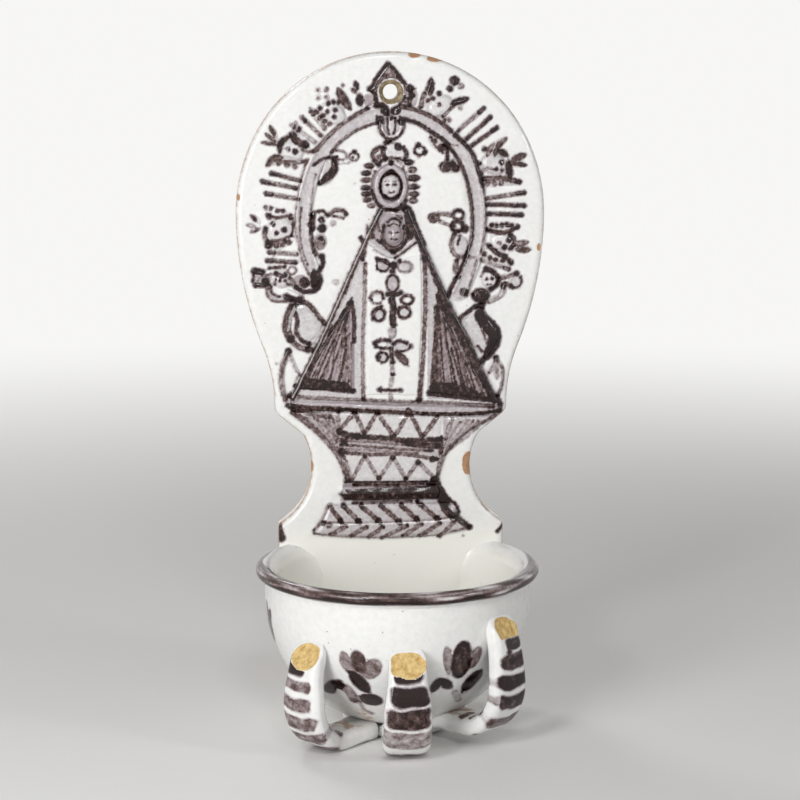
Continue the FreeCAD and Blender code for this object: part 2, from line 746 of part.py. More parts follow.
def make_aureole():
    ring = oval_ring(
        "aureole_ring", size["aureole_half_width"], size["aureole_half_height"],
        size["aureole_band_width"], size["aureole_relief"], size["aureole_drop"], on_plate)
    opening = doc.addObject("Part::Box", "aureole_opening_box")
    bind(opening, "Length", size["aureole_half_width"] * 2)
    bind(opening, "Width", size["aureole_relief"])
    bind(opening, "Height", size["aureole_half_height"])
    bind(opening, "Placement.Base.x", -size["aureole_half_width"])
    bind(opening, "Placement.Base.y", -on_plate - size["aureole_relief"])
    bind(opening, "Placement.Base.z",
         -size["aureole_drop"] - size["aureole_opening"] - size["aureole_half_height"])
    finished(difference("aureole_arch", ring, opening), "aureole_band")

    knot = [
        dome("knot_bar", size["knot_width"], size["knot_height"], size["ray_relief"],
             zero, -size["knot_drop"], on_plate),
    ]
    for side in (-1, 1):
        knot.append(dome(f"knot_loop_{len(knot)}", size["knot_width"], size["knot_height"],
                         size["wing_relief"], size["knot_spread"] * side, -size["knot_drop"],
                         on_plate, turn=-side * knot_turn))
    group("aureole_knot", knot)


# Places round the aureole and turns are in degrees, anticlockwise from the right.
ray_angles = [52, 47, 42, 8.5, 5, 1.5, 130.5, 134, 137.6, 162, 166.5, 171, 196.5, 200.5, -21.5]
ray_lean = 0.78     # a ray leans this share of the way from level to square with the aureole
cherub_angles = [120.5, 150.5, 184.6, 66, 24, -10.3]
blossom_spread = 38
knot_turn = 14
# Inner sprigs: place round the aureole, inset from the band in sprig insets, turn, leaf or petal.
inner_sprig_places = [
    (150.4, 0.49, 78, "leaf"),
    (135.4, 0.70, -10, "petal"),
    (126.8, 1.22, 10, "petal"),
    (50.6, 0.50, -40, "leaf"),
    (61.0, 1.24, 5, "petal"),
    (34.7, 0.62, 90, "petal"),
    (183.4, 0.62, 84, "leaf"),
    (177.1, 1.56, 0, "petal"),
    (195.0, 0.62, 78, "petal"),
    (207.0, 0.52, 66, "petal"),
    (340.4, 0.72, 86, "leaf"),
    (359.3, 2.12, 0, "petal"),
    (355.8, 0.71, 65, "petal"),
    (327.3, 0.50, 108, "petal"),
]


def make_rays():
    bars = []
    for angle in ray_angles:
        level = 0 if math.cos(math.radians(angle)) > 0 else 180
        lean = (outward(angle) - level + 180) % 360 - 180
        direction = level + lean * ray_lean
        root = on_oval(angle, size["sprig_clearance"])
        place = shifted(root, direction, size["ray_length"] / 2)
        bars.append(dome(f"ray_{len(bars) + 1}", size["ray_length"], size["ray_width"],
                         size["ray_relief"], place[0], place[1], on_plate, turn=direction))
    group("ray_bars", bars)


def petal_fan(prefix, place, direction):
    # Three petals that open from a common root.
    petals = []
    for step in (-1, 0, 1):
        turn = direction + step * blossom_spread
        centre = shifted(place, turn, size["petal_reach"])
        petals.append(dome(f"{prefix}_{step + 2}", size["petal_length"], size["petal_width"],
                           size["petal_relief"], centre[0], centre[1], on_plate, turn=turn))
    return petals


def make_cherubs():
    heads, wings, blossoms = [], [], []
    for number, angle in enumerate(cherub_angles, start=1):
        away = outward(angle)
        place = on_oval(angle, size["cherub_reach"])
        heads.append(dome(f"cherub_{number}", size["cherub_radius"] * 2, size["cherub_radius"] * 2,
                          size["cherub_relief"], place[0], place[1], on_plate))
        for side in (-1, 1):
            spot = shifted(place, away + 90 * side, size["wing_spread"])
            wings.append(dome(f"cherub_wing_{len(wings) + 1}", size["wing_length"],
                              size["wing_width"], size["wing_relief"], spot[0], spot[1],
                              on_plate, turn=away))
        blossoms += petal_fan(f"outer_petal_{number}", on_oval(angle, size["blossom_reach"]), away)
    group("cherub_heads", heads)
    group("cherub_wings", wings)
    group("outer_blossoms", blossoms)


def make_inner_sprigs():
    sprigs = []
    for angle, inset, turn, form in inner_sprig_places:
        place = on_oval(angle, -size["aureole_band_width"] - size["sprig_inset"] * inset)
        if form == "leaf":
            length, width = size["wing_length"], size["wing_width"]
        else:
            length, width = size["petal_length"], size["inner_petal_width"]
        sprigs.append(dome(f"inner_sprig_{len(sprigs) + 1}", length, width, size["petal_relief"],
                           place[0], place[1], on_plate, turn=turn))
    group("inner_sprigs", sprigs)


# ---- the figure -----------------------------------------------------------------------------


pearl_angles = [-33, -20, -7, 6, 19, 32]     # degrees above level, on both sides of the face
bow_turn = 12
flower_turns = [28, 152, 208, 332]


def make_hood():
    skirt = -size["hood_skirt"]
    bore = size["hood_bore"]
    bore_half = (bore * bore - skirt * skirt).root()
    half = size["hood_half_width"]
    tip = (zero, size["hood_height"])
    side = arc_radius((half, skirt), tip, size["hood_bulge"])
    relief("hole_hood", [
        (half, skirt, side),
        tip + (side,),
        (-half, skirt),
        (-bore_half, skirt, -bore),
        (0, bore, -bore),
        (bore_half, skirt),
    ], size["hood_relief"], on_plate)


def make_head():
    ring = oval_ring(
        "rostrillo_ring", size["rostrillo_half_width"], size["rostrillo_half_height"],
        size["rostrillo_width"], size["rostrillo_relief"], size["face_drop"], on_plate)
    finished(round_front(ring, "rostrillo_rounded", on_plate + size["rostrillo_relief"],
                         size["sprig_round"]), "rostrillo")

    inside = size["rostrillo_width"] + size["sprig_clearance"]
    finished(dome("face_oval", (size["rostrillo_half_width"] - inside) * 2,
                  (size["rostrillo_half_height"] - inside) * 2, size["face_relief"],
                  zero, -size["face_drop"], on_plate), "madonna_face")

    pearls = []
    for side in (-1, 1):
        for angle in pearl_angles:
            turn = math.radians(angle)
            across = (size["rostrillo_half_width"] + size["pearl_offset"]) * (math.cos(turn) * side)
            up = (size["rostrillo_half_height"] + size["pearl_lift"]) * math.sin(turn)
            pearls.append(dome(f"pearl_{len(pearls) + 1}", size["pearl_radius"] * 2,
                               size["pearl_radius"] * 2, size["pearl_radius"],
                               across, up - size["face_drop"], on_plate))
    group("rostrillo_pearls", pearls)

    base = size["rostrillo_half_height"] + size["sprig_clearance"] - size["face_drop"]
    top = (zero, base + size["crown_height"])
    cusp = (size["crown_lobe_half_width"], base + size["crown_cusp_height"])
    side = (size["crown_half_width"], base + size["crown_side_height"])
    relief("crown", both_sides([
        top + (-arc_radius(top, cusp, size["crown_lobe_bulge"]),),
        cusp + (-arc_radius(cusp, side, size["crown_lobe_bulge"]),),
        side,
        (size["crown_base_half_width"], base),
    ]), size["crown_relief"], on_plate, rounding=None)


def make_dress():
    neck = (size["mantle_top_half_width"], -size["mantle_top_drop"])
    corner = (mantle_half, -size["mantle_bottom_drop"])
    relief("mantle", both_sides([
        neck + (-arc_radius(neck, corner, size["mantle_bulge"]),),
        corner,
    ]), size["mantle_relief"], on_plate)

    top = -size["collar_drop"]
    half = size["collar_half_width"]
    point = top - size["collar_depth"]
    relief("collar", both_sides([
        (0, point + size["collar_width"]),
        (half, top),
        (half, top - size["collar_width"]),
        (0, point),
    ]), size["collar_relief"], on_mantle, "fine_round")

    foot = size["hem_margin"] - size["mantle_bottom_drop"]
    dress = size["dress_half_width"]
    under_collar = size["collar_width"] + size["sprig_clearance"]
    relief("dress_panel", both_sides([
        (0, point - size["sprig_clearance"]),
        (half, top - under_collar),
        (dress, top - under_collar - size["collar_width"]),
        (dress, foot),
    ]), size["dress_relief"], on_mantle, "fine_round")

    for label, side in (("left_mantle_panel", -1), ("right_mantle_panel", 1)):
        inner = dress + size["lining_gap"]
        corners = [
            (inner * side, foot + size["lining_height"]),
            ((inner + size["lining_half_width"]) * side, foot),
            (inner * side, foot),
        ]
        relief(label, corners, size["lining_relief"], on_mantle, "fine_round")


def make_child():
    finished(dome("child_oval", size["child_half_width"] * 2, size["child_half_height"] * 2,
                  size["child_relief"], zero, -size["child_drop"], on_mantle), "child_head")
    base = size["child_half_height"] + size["sprig_clearance"] - size["child_drop"]
    top = base + size["child_crown_height"]
    relief("child_crown", both_sides([
        (0, top),
        (size["child_crown_notch"] / 2, base + size["child_crown_notch_height"]),
        (size["child_crown_width"] / 2, top),
        (size["child_crown_base"] / 2, base),
    ]), size["child_crown_relief"], on_mantle, "fine_round")


def make_dress_ornaments():
    loops = []
    for side in (-1, 1):
        loops.append(dome(f"bow_loop_{len(loops) + 1}", size["flower_petal_length"],
                          size["flower_petal_width"], size["flower_relief"],
                          size["bow_spread"] * side, -size["bow_drop"], on_dress,
                          turn=side * bow_turn))
    group("dress_bow", loops)

    petals = []
    for number in (0, 1):
        middle = (zero, -size["flower_drop"] - size["flower_pitch"] * number)
        for turn in flower_turns:
            place = shifted(middle, turn, size["flower_reach"])
            petals.append(dome(f"dress_petal_{len(petals) + 1}", size["flower_petal_length"],
                               size["flower_petal_width"], size["flower_relief"],
                               place[0], place[1], on_dress, turn=turn))
        petals.append(dome(f"dress_stem_{number + 1}", size["petal_width"],
                           size["petal_length"], size["flower_relief"], zero,
                           middle[1] + size["stem_petal_rise"], on_dress))
    group("dress_flowers", petals)


# ---- hem band, crescent, angels and pedestal ------------------------------------------------


hem_top = -size["mantle_bottom_drop"] - size["sprig_clearance"]
hem_foot = hem_top - size["hem_height"]
hem_half = mantle_half + size["hem_spread"]
angel_horn_turn = 6
robe_turn = 12


def make_hem_and_crescent():
    relief("hem_band", both_sides([
        (mantle_half, hem_top),
        (hem_half, hem_foot),
    ]), size["hem_relief"], on_plate)

    tips = []
    foot = hem_top + size["sprig_clearance"]
    inner = mantle_half + size["sprig_clearance"] * 2
    for side in (-1, 1):
        body = doc.addObject("PartDesign::Body", f"horn_{side + 2}")
        outline = new_sketch(body, "Outline")
        inside = (inner * side, foot)
        outside = ((inner + size["horn_width"]) * side, foot)
        tip = (outside[0] - size["horn_lean"] * side, foot + size["horn_height"])
        draw(outline, [
            inside,
            outside + (arc_radius(outside, tip, size["horn_bulge"]) * side,),
            tip + (-arc_radius(tip, inside, size["horn_hollow"]) * side,),
        ])
        pad(body, outline, size["horn_relief"], "Relief")
        bind(body, "Placement.Base.y", -on_plate)
        tips.append(body)
    group("crescent_horns", tips)


def make_angels():
    # The robes stand beside the mantle, and each head over its robe.
    level = size["angel_drop"] + size["robe_drop"]
    share = (level - size["mantle_top_drop"]) / (size["mantle_bottom_drop"] - size["mantle_top_drop"])
    neck = size["mantle_top_half_width"]
    mantle_side = neck + (mantle_half - neck) * share
    offset = mantle_side + size["robe_clearance"] + size["robe_width"] / 2 + size["robe_inset"]
    for name, side in (("left", -1), ("right", 1)):
        head = (offset * side, -size["angel_drop"])
        width = size["angel_radius"] * 2
        finished(dome(f"{name}_angel_oval", width, width, size["angel_relief"],
                      head[0], head[1], on_plate), f"{name}_angel_head")
        horn = shifted(head, 90 - 90 * side, size["angel_horn_offset"])
        finished(dome(f"{name}_angel_trumpet", size["angel_horn_length"],
                      size["angel_horn_width"], size["wing_relief"], horn[0], horn[1],
                      on_plate, turn=side * angel_horn_turn), f"{name}_angel_horn")
        finished(dome(f"{name}_angel_dress", size["robe_width"], size["robe_height"],
                      size["robe_relief"], head[0] - size["robe_inset"] * side,
                      head[1] - size["robe_drop"], on_plate, turn=side * robe_turn),
                 f"{name}_angel_robe")


def make_pedestal():
    top = hem_foot - size["sprig_clearance"]
    stem_top = top - size["tray_depth"]
    stem_foot = stem_top - size["stem_depth"]
    lip = (hem_half, top)
    neck = (size["stem_half_width"], stem_top)
    relief("pedestal_bowl", both_sides([
        lip + (arc_radius(lip, neck, size["tray_hollow"]),),
        neck,
        (size["stem_foot_half_width"], stem_foot),
    ]), size["pedestal_relief"], on_plate)

    ring_top = stem_foot - size["sprig_clearance"]
    ring_foot = ring_top - size["ring_height"]
    relief("pedestal_torus", both_sides([
        (size["ring_half_width"], ring_top),
        (size["ring_half_width"], ring_foot),
    ]), size["ring_relief"], on_plate, "plate_edge_round")

    foot_top = ring_foot - size["sprig_clearance"]
    foot_half = waist_half - size["foot_inset"]
    relief("pedestal_foot", both_sides([
        (foot_half - size["foot_spread"], foot_top),
        (foot_half, foot_top - size["foot_height"]),
    ]), size["foot_relief"], on_plate, "foot_bevel", "Chamfer")


# ---- build, check and write -----------------------------------------------------------------


def build():
    make_back_plate()
    make_bowl()
    wall = make_wall_clearance()
    make_strap("left_scroll_strap", -size["left_strap_turn"], size["scar_drop"], zero, wall)
    make_strap("centre_scroll_strap", zero, size["scar_drop"], zero, wall)
    right_lift = size["right_strap_lift"]
    make_strap("right_scroll_strap", size["right_strap_turn"], size["scar_drop_right"], right_lift, wall)
    make_strap_root()
    make_hood()
    make_aureole()
    make_rays()
    make_cherubs()
    make_inner_sprigs()
    make_head()
    make_dress()
    make_child()
    make_dress_ornaments()
    make_hem_and_crescent()
    make_angels()
    make_pedestal()
    doc.recompute()


def check():
    for item in doc.Objects:
        if any(word in item.State for word in ("Invalid", "Error")):
            raise RuntimeError(f"{item.Label} failed: {item.State}")
    for item in parts:
        if item.Shape.isNull() or not item.Shape.isValid():
            raise RuntimeError(f"{item.Label} has no valid shape")
        if not item.Shape.Solids:
            raise RuntimeError(f"{item.Label} has no solid")


def write():
    os.makedirs("parts", exist_ok=True)
    for item in parts:
        item.Shape.exportStep(os.path.join("parts", item.Label + ".step"))
        box = item.Shape.BoundBox
        print(f"{item.Label:22s} {len(item.Shape.Solids):3d} solids {item.Shape.Volume:10.1f} mm3"
              f"  z {box.ZMin:7.1f} {box.ZMax:7.1f}")


build()
check()
write()
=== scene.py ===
import math

import bmesh
import bpy
import numpy as np
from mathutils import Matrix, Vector


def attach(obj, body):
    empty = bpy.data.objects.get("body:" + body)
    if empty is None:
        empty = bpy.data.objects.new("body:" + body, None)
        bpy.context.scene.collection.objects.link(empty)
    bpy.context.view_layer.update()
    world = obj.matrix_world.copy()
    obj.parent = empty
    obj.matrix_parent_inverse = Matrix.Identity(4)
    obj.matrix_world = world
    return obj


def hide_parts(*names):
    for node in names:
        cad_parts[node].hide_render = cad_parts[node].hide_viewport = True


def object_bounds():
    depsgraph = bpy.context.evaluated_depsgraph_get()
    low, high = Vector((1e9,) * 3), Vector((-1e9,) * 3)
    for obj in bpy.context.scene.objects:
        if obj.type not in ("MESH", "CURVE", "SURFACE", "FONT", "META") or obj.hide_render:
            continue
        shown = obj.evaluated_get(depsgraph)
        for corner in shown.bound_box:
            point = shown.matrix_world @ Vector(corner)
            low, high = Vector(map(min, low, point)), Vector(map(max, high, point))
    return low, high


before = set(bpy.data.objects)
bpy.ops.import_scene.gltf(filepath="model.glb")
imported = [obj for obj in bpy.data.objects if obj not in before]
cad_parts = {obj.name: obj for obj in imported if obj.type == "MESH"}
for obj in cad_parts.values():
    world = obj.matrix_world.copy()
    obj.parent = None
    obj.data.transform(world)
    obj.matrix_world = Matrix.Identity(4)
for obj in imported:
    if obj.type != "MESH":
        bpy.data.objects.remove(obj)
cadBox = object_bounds()
mm = 0.001
print("stage: frame loaded")


# a long lens, a little to the left of the stoup and above its bowl: mm and degrees
camera = {"distance": 950.0, "azimuth": -4.0, "height": 34.0, "lens": 109.83, "film": 36.0, "yaw": 0.248,
          "pitch": -9.2615, "nearest": 0.01}


def placeCamera():
    azimuth, distance = math.radians(camera["azimuth"]), camera["distance"]
    spot = Vector((distance * math.sin(azimuth), -distance * math.cos(azimuth), camera["height"]))
    heading = math.atan2(-spot.x, -spot.y) + math.radians(camera["yaw"])
    pitch = math.radians(camera["pitch"])
    aim = Vector((math.sin(heading) * math.cos(pitch), math.cos(heading) * math.cos(pitch), math.sin(pitch)))
    lens = bpy.data.cameras.new("viewer")
    lens.lens = camera["lens"]
    lens.sensor_width = camera["film"]
    lens.clip_start = camera["nearest"]
    viewer = bpy.data.objects.new("viewer", lens)
    viewer.location = spot * mm
    viewer.rotation_euler = aim.to_track_quat("-Z", "Y").to_euler()
    bpy.context.collection.objects.link(viewer)
    bpy.context.scene.camera = viewer


placeCamera()


# every line, leaf, oval and filled shape is drawn in mm, x to the right and z up
# the brush: how far its effect reaches, its unevenness, and how much more it leaves where it stops
brush = {"reach": 1.2, "wobble": 0.13, "wobbleSize": 2.2, "shading": 0.14, "shadingSize": 3.2, "along": 0.85,
         "stop": 0.5, "stopPower": 8, "leafTip": 0.3, "washSoft": 0.9, "washPool": 0.35, "washPoolWidth": 0.7}
unpainted = -brush["reach"]


def line(tone, width, *points):
    return {"kind": "line", "tone": tone, "width": width, "points": points}


def leaf(tone, width, *points):
    return {"kind": "leaf", "tone": tone, "width": width, "points": points}


def spot(tone, radius, x, z):
    return {"kind": "line", "tone": tone, "width": 2 * radius, "points": ((x, z),)}


def oval(tone, x, z, acrossHalf, upHalf, turn=0):
    return {"kind": "oval", "tone": tone, "place": (x, z), "half": (acrossHalf, upHalf), "turn": turn}


def ring(tone, width, x, z, acrossHalf, upHalf, turn=0):
    points, lean, sides = [], math.radians(turn), 24
    for step in range(sides + 1):
        angle = step * math.tau / sides
        u, v = acrossHalf * math.cos(angle), upHalf * math.sin(angle)
        sideways, upward = u * math.cos(lean) - v * math.sin(lean), u * math.sin(lean) + v * math.cos(lean)
        points.append((x + sideways, z + upward))
    return {"kind": "ring", "tone": tone, "width": width, "points": points}


def patch(tone, *points):
    return {"kind": "patch", "tone": tone, "points": points}


def smoothPath(points, steps=5):    # a curve through listed points
    spots = np.asarray(points, float)
    if len(spots) < 3:
        return spots
    spread = np.vstack([2 * spots[0] - spots[1], spots, 2 * spots[-1] - spots[-2]])
    curve = []
    for i in range(len(spots) - 1):
        a, b, c, d = spread[i:i + 4]
        for t in np.arange(steps) / steps:
            curve.append(0.5 * (2 * b + (c - a) * t + (2 * a - 5 * b + 4 * c - d) * t ** 2
                                + (3 * b - a - 3 * c + d) * t ** 3))
    curve.append(spots[-1])
    return np.array(curve)


def toPath(x, z, path):    # distance to a line, share of the way along it, and the nearest place on it
    near = np.full(x.shape, 1e3)
    along, nearX, nearZ = np.full(x.shape, 0.5), np.full(x.shape, path[0][0]), np.full(x.shape, path[0][1])
    if len(path) == 1:
        return np.hypot(x - path[0][0], z - path[0][1]), along, nearX, nearZ
    legs = np.hypot(*np.diff(path, axis=0).T)
    run = np.concatenate([[0], np.cumsum(legs)])
    for i, leg in enumerate(legs):
        if leg < 1e-9:
            continue
        (ax, az), (bx, bz) = path[i], path[i + 1]
        t = np.clip(((x - ax) * (bx - ax) + (z - az) * (bz - az)) / leg ** 2, 0, 1)
        px, pz = ax + t * (bx - ax), az + t * (bz - az)
        gap = np.hypot(x - px, z - pz)
        closer = gap < near
        near = np.where(closer, gap, near)
        along = np.where(closer, (run[i] + t * leg) / run[-1], along)
        nearX, nearZ = np.where(closer, px, nearX), np.where(closer, pz, nearZ)
    return near, along, nearX, nearZ


def insideOf(x, z, path):    # True inside a closed outline
    inside = np.zeros(x.shape, bool)
    for (ax, az), (bx, bz) in zip(path, np.roll(path, -1, axis=0)):
        if az == bz:
            continue
        crosses = ((az > z) != (bz > z)) & (x < (bx - ax) * (z - az) / (bz - az) + ax)
        inside ^= crosses
    return inside


def prepare(mark):    # curve and limits of a mark, worked out once
    if "box" in mark:
        return mark
    if mark["kind"] == "oval":
        reach = max(mark["half"])
        (x, z) = mark["place"]
        mark["box"] = (x - reach, x + reach, z - reach, z + reach)
        return mark
    closed = mark["kind"] == "patch"
    points = mark["points"]
    if mark["kind"] in ("line", "leaf"):
        points = smoothPath(points)
    mark["path"] = np.asarray(points, float)
    if closed:
        mark["path"] = np.vstack([mark["path"], mark["path"][:1]])
    half = mark.get("width", 0) / 2
    low, high = mark["path"].min(0) - half, mark["path"].max(0) + half
    mark["box"] = (low[0], high[0], low[1], high[1])
    return mark


def markEdge(mark, x, z):    # mm inside the mark's edge, and the share of the way along it
    if mark["kind"] == "oval":
        lean = math.radians(mark["turn"])
        dx, dz = x - mark["place"][0], z - mark["place"][1]
        u = (dx * math.cos(lean) + dz * math.sin(lean)) / mark["half"][0]
        v = (dz * math.cos(lean) - dx * math.sin(lean)) / mark["half"][1]
        return (1 - np.hypot(u, v)) * math.sqrt(mark["half"][0] * mark["half"][1]), np.full(x.shape, 0.5)
    near, along = toPath(x, z, mark["path"])[:2]
    if mark["kind"] == "patch":
        return np.where(insideOf(x, z, mark["path"][:-1]), near, -near), np.full(x.shape, 0.5)
    half = mark["width"] / 2
    if mark["kind"] == "leaf":
        tip = brush["leafTip"]
        half = half * (tip + (1 - tip) * np.sqrt(np.sin(np.pi * np.clip(along, 0, 1))))
    return half - near, along


def ripple(x, z, size, seed):    # gentle hand-made unevenness, about -1 to 1
    maker = np.random.default_rng(seed)
    total, count, evening = np.zeros(np.shape(x)), 7, 3.2
    for _ in range(count):
        heading, pace, start = maker.uniform(0, math.tau), maker.uniform(0.6, 1.5), maker.uniform(0, math.tau)
        run = x * math.cos(heading) + z * math.sin(heading)
        total = total + np.sin(run * math.tau / size * pace + start)
    return total / evening


def brushOn(x, z, marks):    # edge in mm and tone of the painting at each place
    reach = brush["reach"]
    edge, tone = np.full(x.shape, -reach), np.zeros(x.shape)
    for mark in marks:
        left, right, low, high = prepare(mark)["box"]
        pick = (x > left - reach) & (x < right + reach) & (z > low - reach) & (z < high + reach)
        if not pick.any():
            continue
        xs, zs = x[pick], z[pick]
        inside, along = markEdge(mark, xs, zs)
        inside = np.clip(inside + brush["wobble"] * ripple(xs, zs, brush["wobbleSize"], 5), -reach, reach)
        shade = mark["tone"] * (1 + brush["shading"] * ripple(xs, zs, brush["shadingSize"], 6))
        if mark["kind"] == "line" and len(mark["points"]) > 1:    # the brush leaves more where it stops
            shade = shade * (brush["along"] + brush["stop"] * np.abs(2 * along - 1) ** brush["stopPower"])
        old, oldTone = edge[pick], tone[pick]
        both = (inside > 0) & (old > 0)
        tone[pick] = np.where(both, np.maximum(oldTone, shade), np.where(inside > old, shade, oldTone))
        edge[pick] = np.maximum(old, inside)
    return edge, tone


def softWash(x, z, marks):    # strength of the thin lilac wash at each place
    strength = np.zeros(x.shape)
    for mark in marks:
        left, right, low, high = prepare(mark)["box"]
        pick = (x > left - 1) & (x < right + 1) & (z > low - 1) & (z < high + 1)
        if not pick.any():
            continue
        inside = markEdge(mark, x[pick], z[pick])[0]
        cover = np.clip(inside / brush["washSoft"] + 0.5, 0, 1)
        pooled = 1 + brush["washPool"] * np.exp(-(inside / brush["washPoolWidth"]) ** 2)
        strength[pick] = np.maximum(strength[pick], mark["tone"] * cover * pooled)
    return strength


# in each motif, "forms" are (height, rounding, mark) of the raised clay; "ink" and "wash" are its painting
def dots(tone, radius, *places):
    return [spot(tone, radius, x, z) for x, z in places]


def raised(height, rounding, *marks):
    return [(height, rounding, mark) for mark in marks]


def beside(points, shift):    # the same curve, moved sideways by so many mm
    curve = smoothPath(points, 3)
    lean = np.gradient(curve, axis=0)
    lean = lean / np.hypot(*lean.T)[:, None]
    return [tuple(place) for place in curve + shift * np.stack([-lean[:, 1], lean[:, 0]], 1)]


leftSide = ((-5, -45), (-7.5, -50), (-10.5, -56), (-15.5, -67), (-20.5, -78), (-25.5, -89.5), (-30.5, -100),
            (-35.5, -110), (-39.5, -118))
rightSide = ((7, -45.5), (10.5, -54), (15, -64), (20, -75), (25, -86), (30, -95), (35, -106), (41.5, -120))

motifs = {}

motifs["hole_hood"] = {
    "piece": "flameHood",
    "forms": raised(1.1, 1.3, patch(0, (-8.4, 0.8), (-6.8, 2.6), (-5.8, 5.4), (-3.6, 8), (-0.8, 11.2),
            (1.6, 9), (3.8, 6), (5.5, 3.4), (8, 2), (8, 0), (5.5, -1.2), (-5.5, -1.2))),
    "hollow": (0, 0, 5.3),
    "ink": [
        patch(0.46, (-8.6, 1.2), (-6.8, 2.4), (-6, 5), (-3.6, 7.6), (-1.2, 10.8), (1.4, 8.8), (3.6, 5.6),
            (5.2, 3), (7, 1.9), (9.8, 1.4), (9, 0.6), (6.4, 0.4), (5.8, -1.4), (4.6, 2.6), (2.6, 4.6),
            (0, 5.4), (-2.6, 4.7), (-4.6, 2.6), (-5.6, -0.6), (-6.2, 0.6)),
        line(1, 1.7, (-8.2, 1.2), (-6.4, 2.8), (-5.4, 5.4), (-3.4, 7.8), (-1.2, 10.6)),
        line(0.85, 1.3, (-0.9, 10.4), (1.6, 8.2), (3.8, 5.2), (5.4, 3)),
        line(0.95, 1.7, (-8, 1.2), (-6.2, -1), (-5.4, -4.6)), spot(1, 1, -1, 10.4),
        spot(0.75, 1, -2.6, 6.4), spot(0.8, 0.9, 2.6, 6),
        line(1, 2.4, (-5.6, -4.8), (-3, -5.4), (-1.6, -7.6)),
        line(0.8, 1.4, (5.2, -2), (3.4, -4.8), (5.4, -5.6)), oval(0.24, -8.6, -3.2, 2.2, 2.2),
        spot(1, 1.6, 7.2, 1.2), spot(0.95, 1.3, 8.1, -1.2), line(0.8, 2, (7.2, -2.6), (7, -4.6)),
        line(0.35, 1.6, (4.8, 0), (5.2, -3.4)),
    ],
    "wash": [oval(0.4, -8.6, -3, 2.4, 2.4), oval(0.4, 8, -2, 2.4, 4)],
}

bandLeft = ((-4, -8.2), (-10, -9.8), (-15, -12.4), (-20, -15.8), (-26.6, -23), (-31, -32), (-33.6, -43),
            (-34, -53), (-32.8, -62), (-31, -68), (-30, -72))
bandRight = ((3.5, -7.8), (10, -9.4), (15, -12.4), (20, -15.8), (25.2, -20.4), (30, -28), (32.6, -37),
             (33.7, -47), (33.4, -56), (31.6, -65), (28.8, -72), (26, -78))
motifs["aureole_band"] = {
    "piece": "aureoleBand",
    "forms": raised(1.2, 1.6, line(0, 5.6, *bandLeft), line(0, 5.6, *bandRight))
    + raised(1.8, 0.9,
        *[line(0, 1.8, *beside(side, shift)) for side in (bandLeft, bandRight) for shift in (-2.1, 2.1)]),
    "ink": [
        line(0.62, 1.5, (-9, -6.2), (-15, -9.6), (-20, -13), (-26, -18.6), (-29.5, -22.6)),
        line(0.6, 1.3, (-5, -11.6), (-10, -13), (-15, -15.6), (-20, -19.2), (-23, -22.8)),
        line(0.42, 0.9, (-32, -25.6), (-34.4, -32), (-36, -40), (-36.9, -50), (-36, -57), (-34.5, -64),
            (-31.6, -70)), line(0.4, 0.9, (-29, -31), (-30.4, -38), (-31, -45)),
        line(0.6, 1.4, (-31, -51), (-31, -56), (-30, -61)),
        line(0.5, 0.8, (-34.6, -44), (-35.2, -52), (-34.4, -60), (-32.4, -66)),
        line(0.95, 1.6, (-26.8, -62.8), (-26.4, -66), (-28.4, -69), (-30, -70.4)),
        leaf(1, 4.6, (-30, -68.4), (-29, -72), (-29.2, -76.2)), spot(0.95, 1.2, -26.8, -63.2),
        line(0.65, 1.7, (3, -5.6), (8, -6.4), (14, -8.6), (19, -11.6), (23, -15)),
        line(0.92, 1.5, (5, -10.4), (10, -11.8), (15, -15), (20, -18.2), (22, -20)),
        line(0.85, 1.3, (21, -19.6), (25, -24.4), (28, -30), (30.2, -38), (31.4, -47), (31.2, -56),
            (29, -63.4)), line(0.9, 1.7, (24.5, -16.4), (28, -19.6), (31.5, -24), (33.6, -30), (35.4, -36)),
        line(0.45, 1.1, (35.6, -36), (36.6, -45), (36.2, -54), (34.6, -62)),
        line(0.85, 1.5, (29.4, -63), (27, -68.4), (23.6, -75), (22, -79.4)),
        line(0.45, 1.2, (33, -65), (31.4, -71), (29.4, -78.6)), spot(0.95, 1.7, 28.4, -77.2),
        line(0.4, 1.2, (29.6, -63.4), (34.6, -64.2)), line(0.4, 0.9, (21.5, -20), (25.4, -20.4)),
    ],
    "wash": [line(0.34, 4.6, *bandLeft), line(0.34, 4.6, *bandRight)],
}

motifs["aureole_knot"] = {
    "piece": "aureoleKnot",
    "forms": raised(1.4, 0.9,
        line(0, 1.9, (-3.8, -10.5), (-3.8, -14), (-2, -17), (1, -17.2), (3.8, -14.6), (4.2, -10.5)),
        line(0, 2.4, (0, -9.6), (0.2, -15.6))),
    "ink": [
        line(0.75, 1.2, (-4.6, -10.4), (-4.4, -14), (-2.6, -17), (0.4, -17.9), (3, -16.8), (4.8, -13.4),
            (4.4, -10)), line(0.7, 0.9, (-1.4, -10), (-1.3, -13.4), (-0.8, -16)),
        line(0.7, 0.9, (1.6, -10), (1.6, -13), (1, -15.8)), leaf(1, 3.4, (-5.4, -9.4), (-3.4, -11.6)),
        leaf(0.95, 3, (3.2, -9.6), (4.6, -12.4)), leaf(1, 3.2, (-3.8, -5.4), (-1, -8.6)),
        leaf(1, 3.4, (3.4, -6), (0.4, -8)), spot(0.9, 1, 0, -9.6),
    ],
    "wash": [oval(0.3, 0, -12.6, 3.6, 4.4)],
}

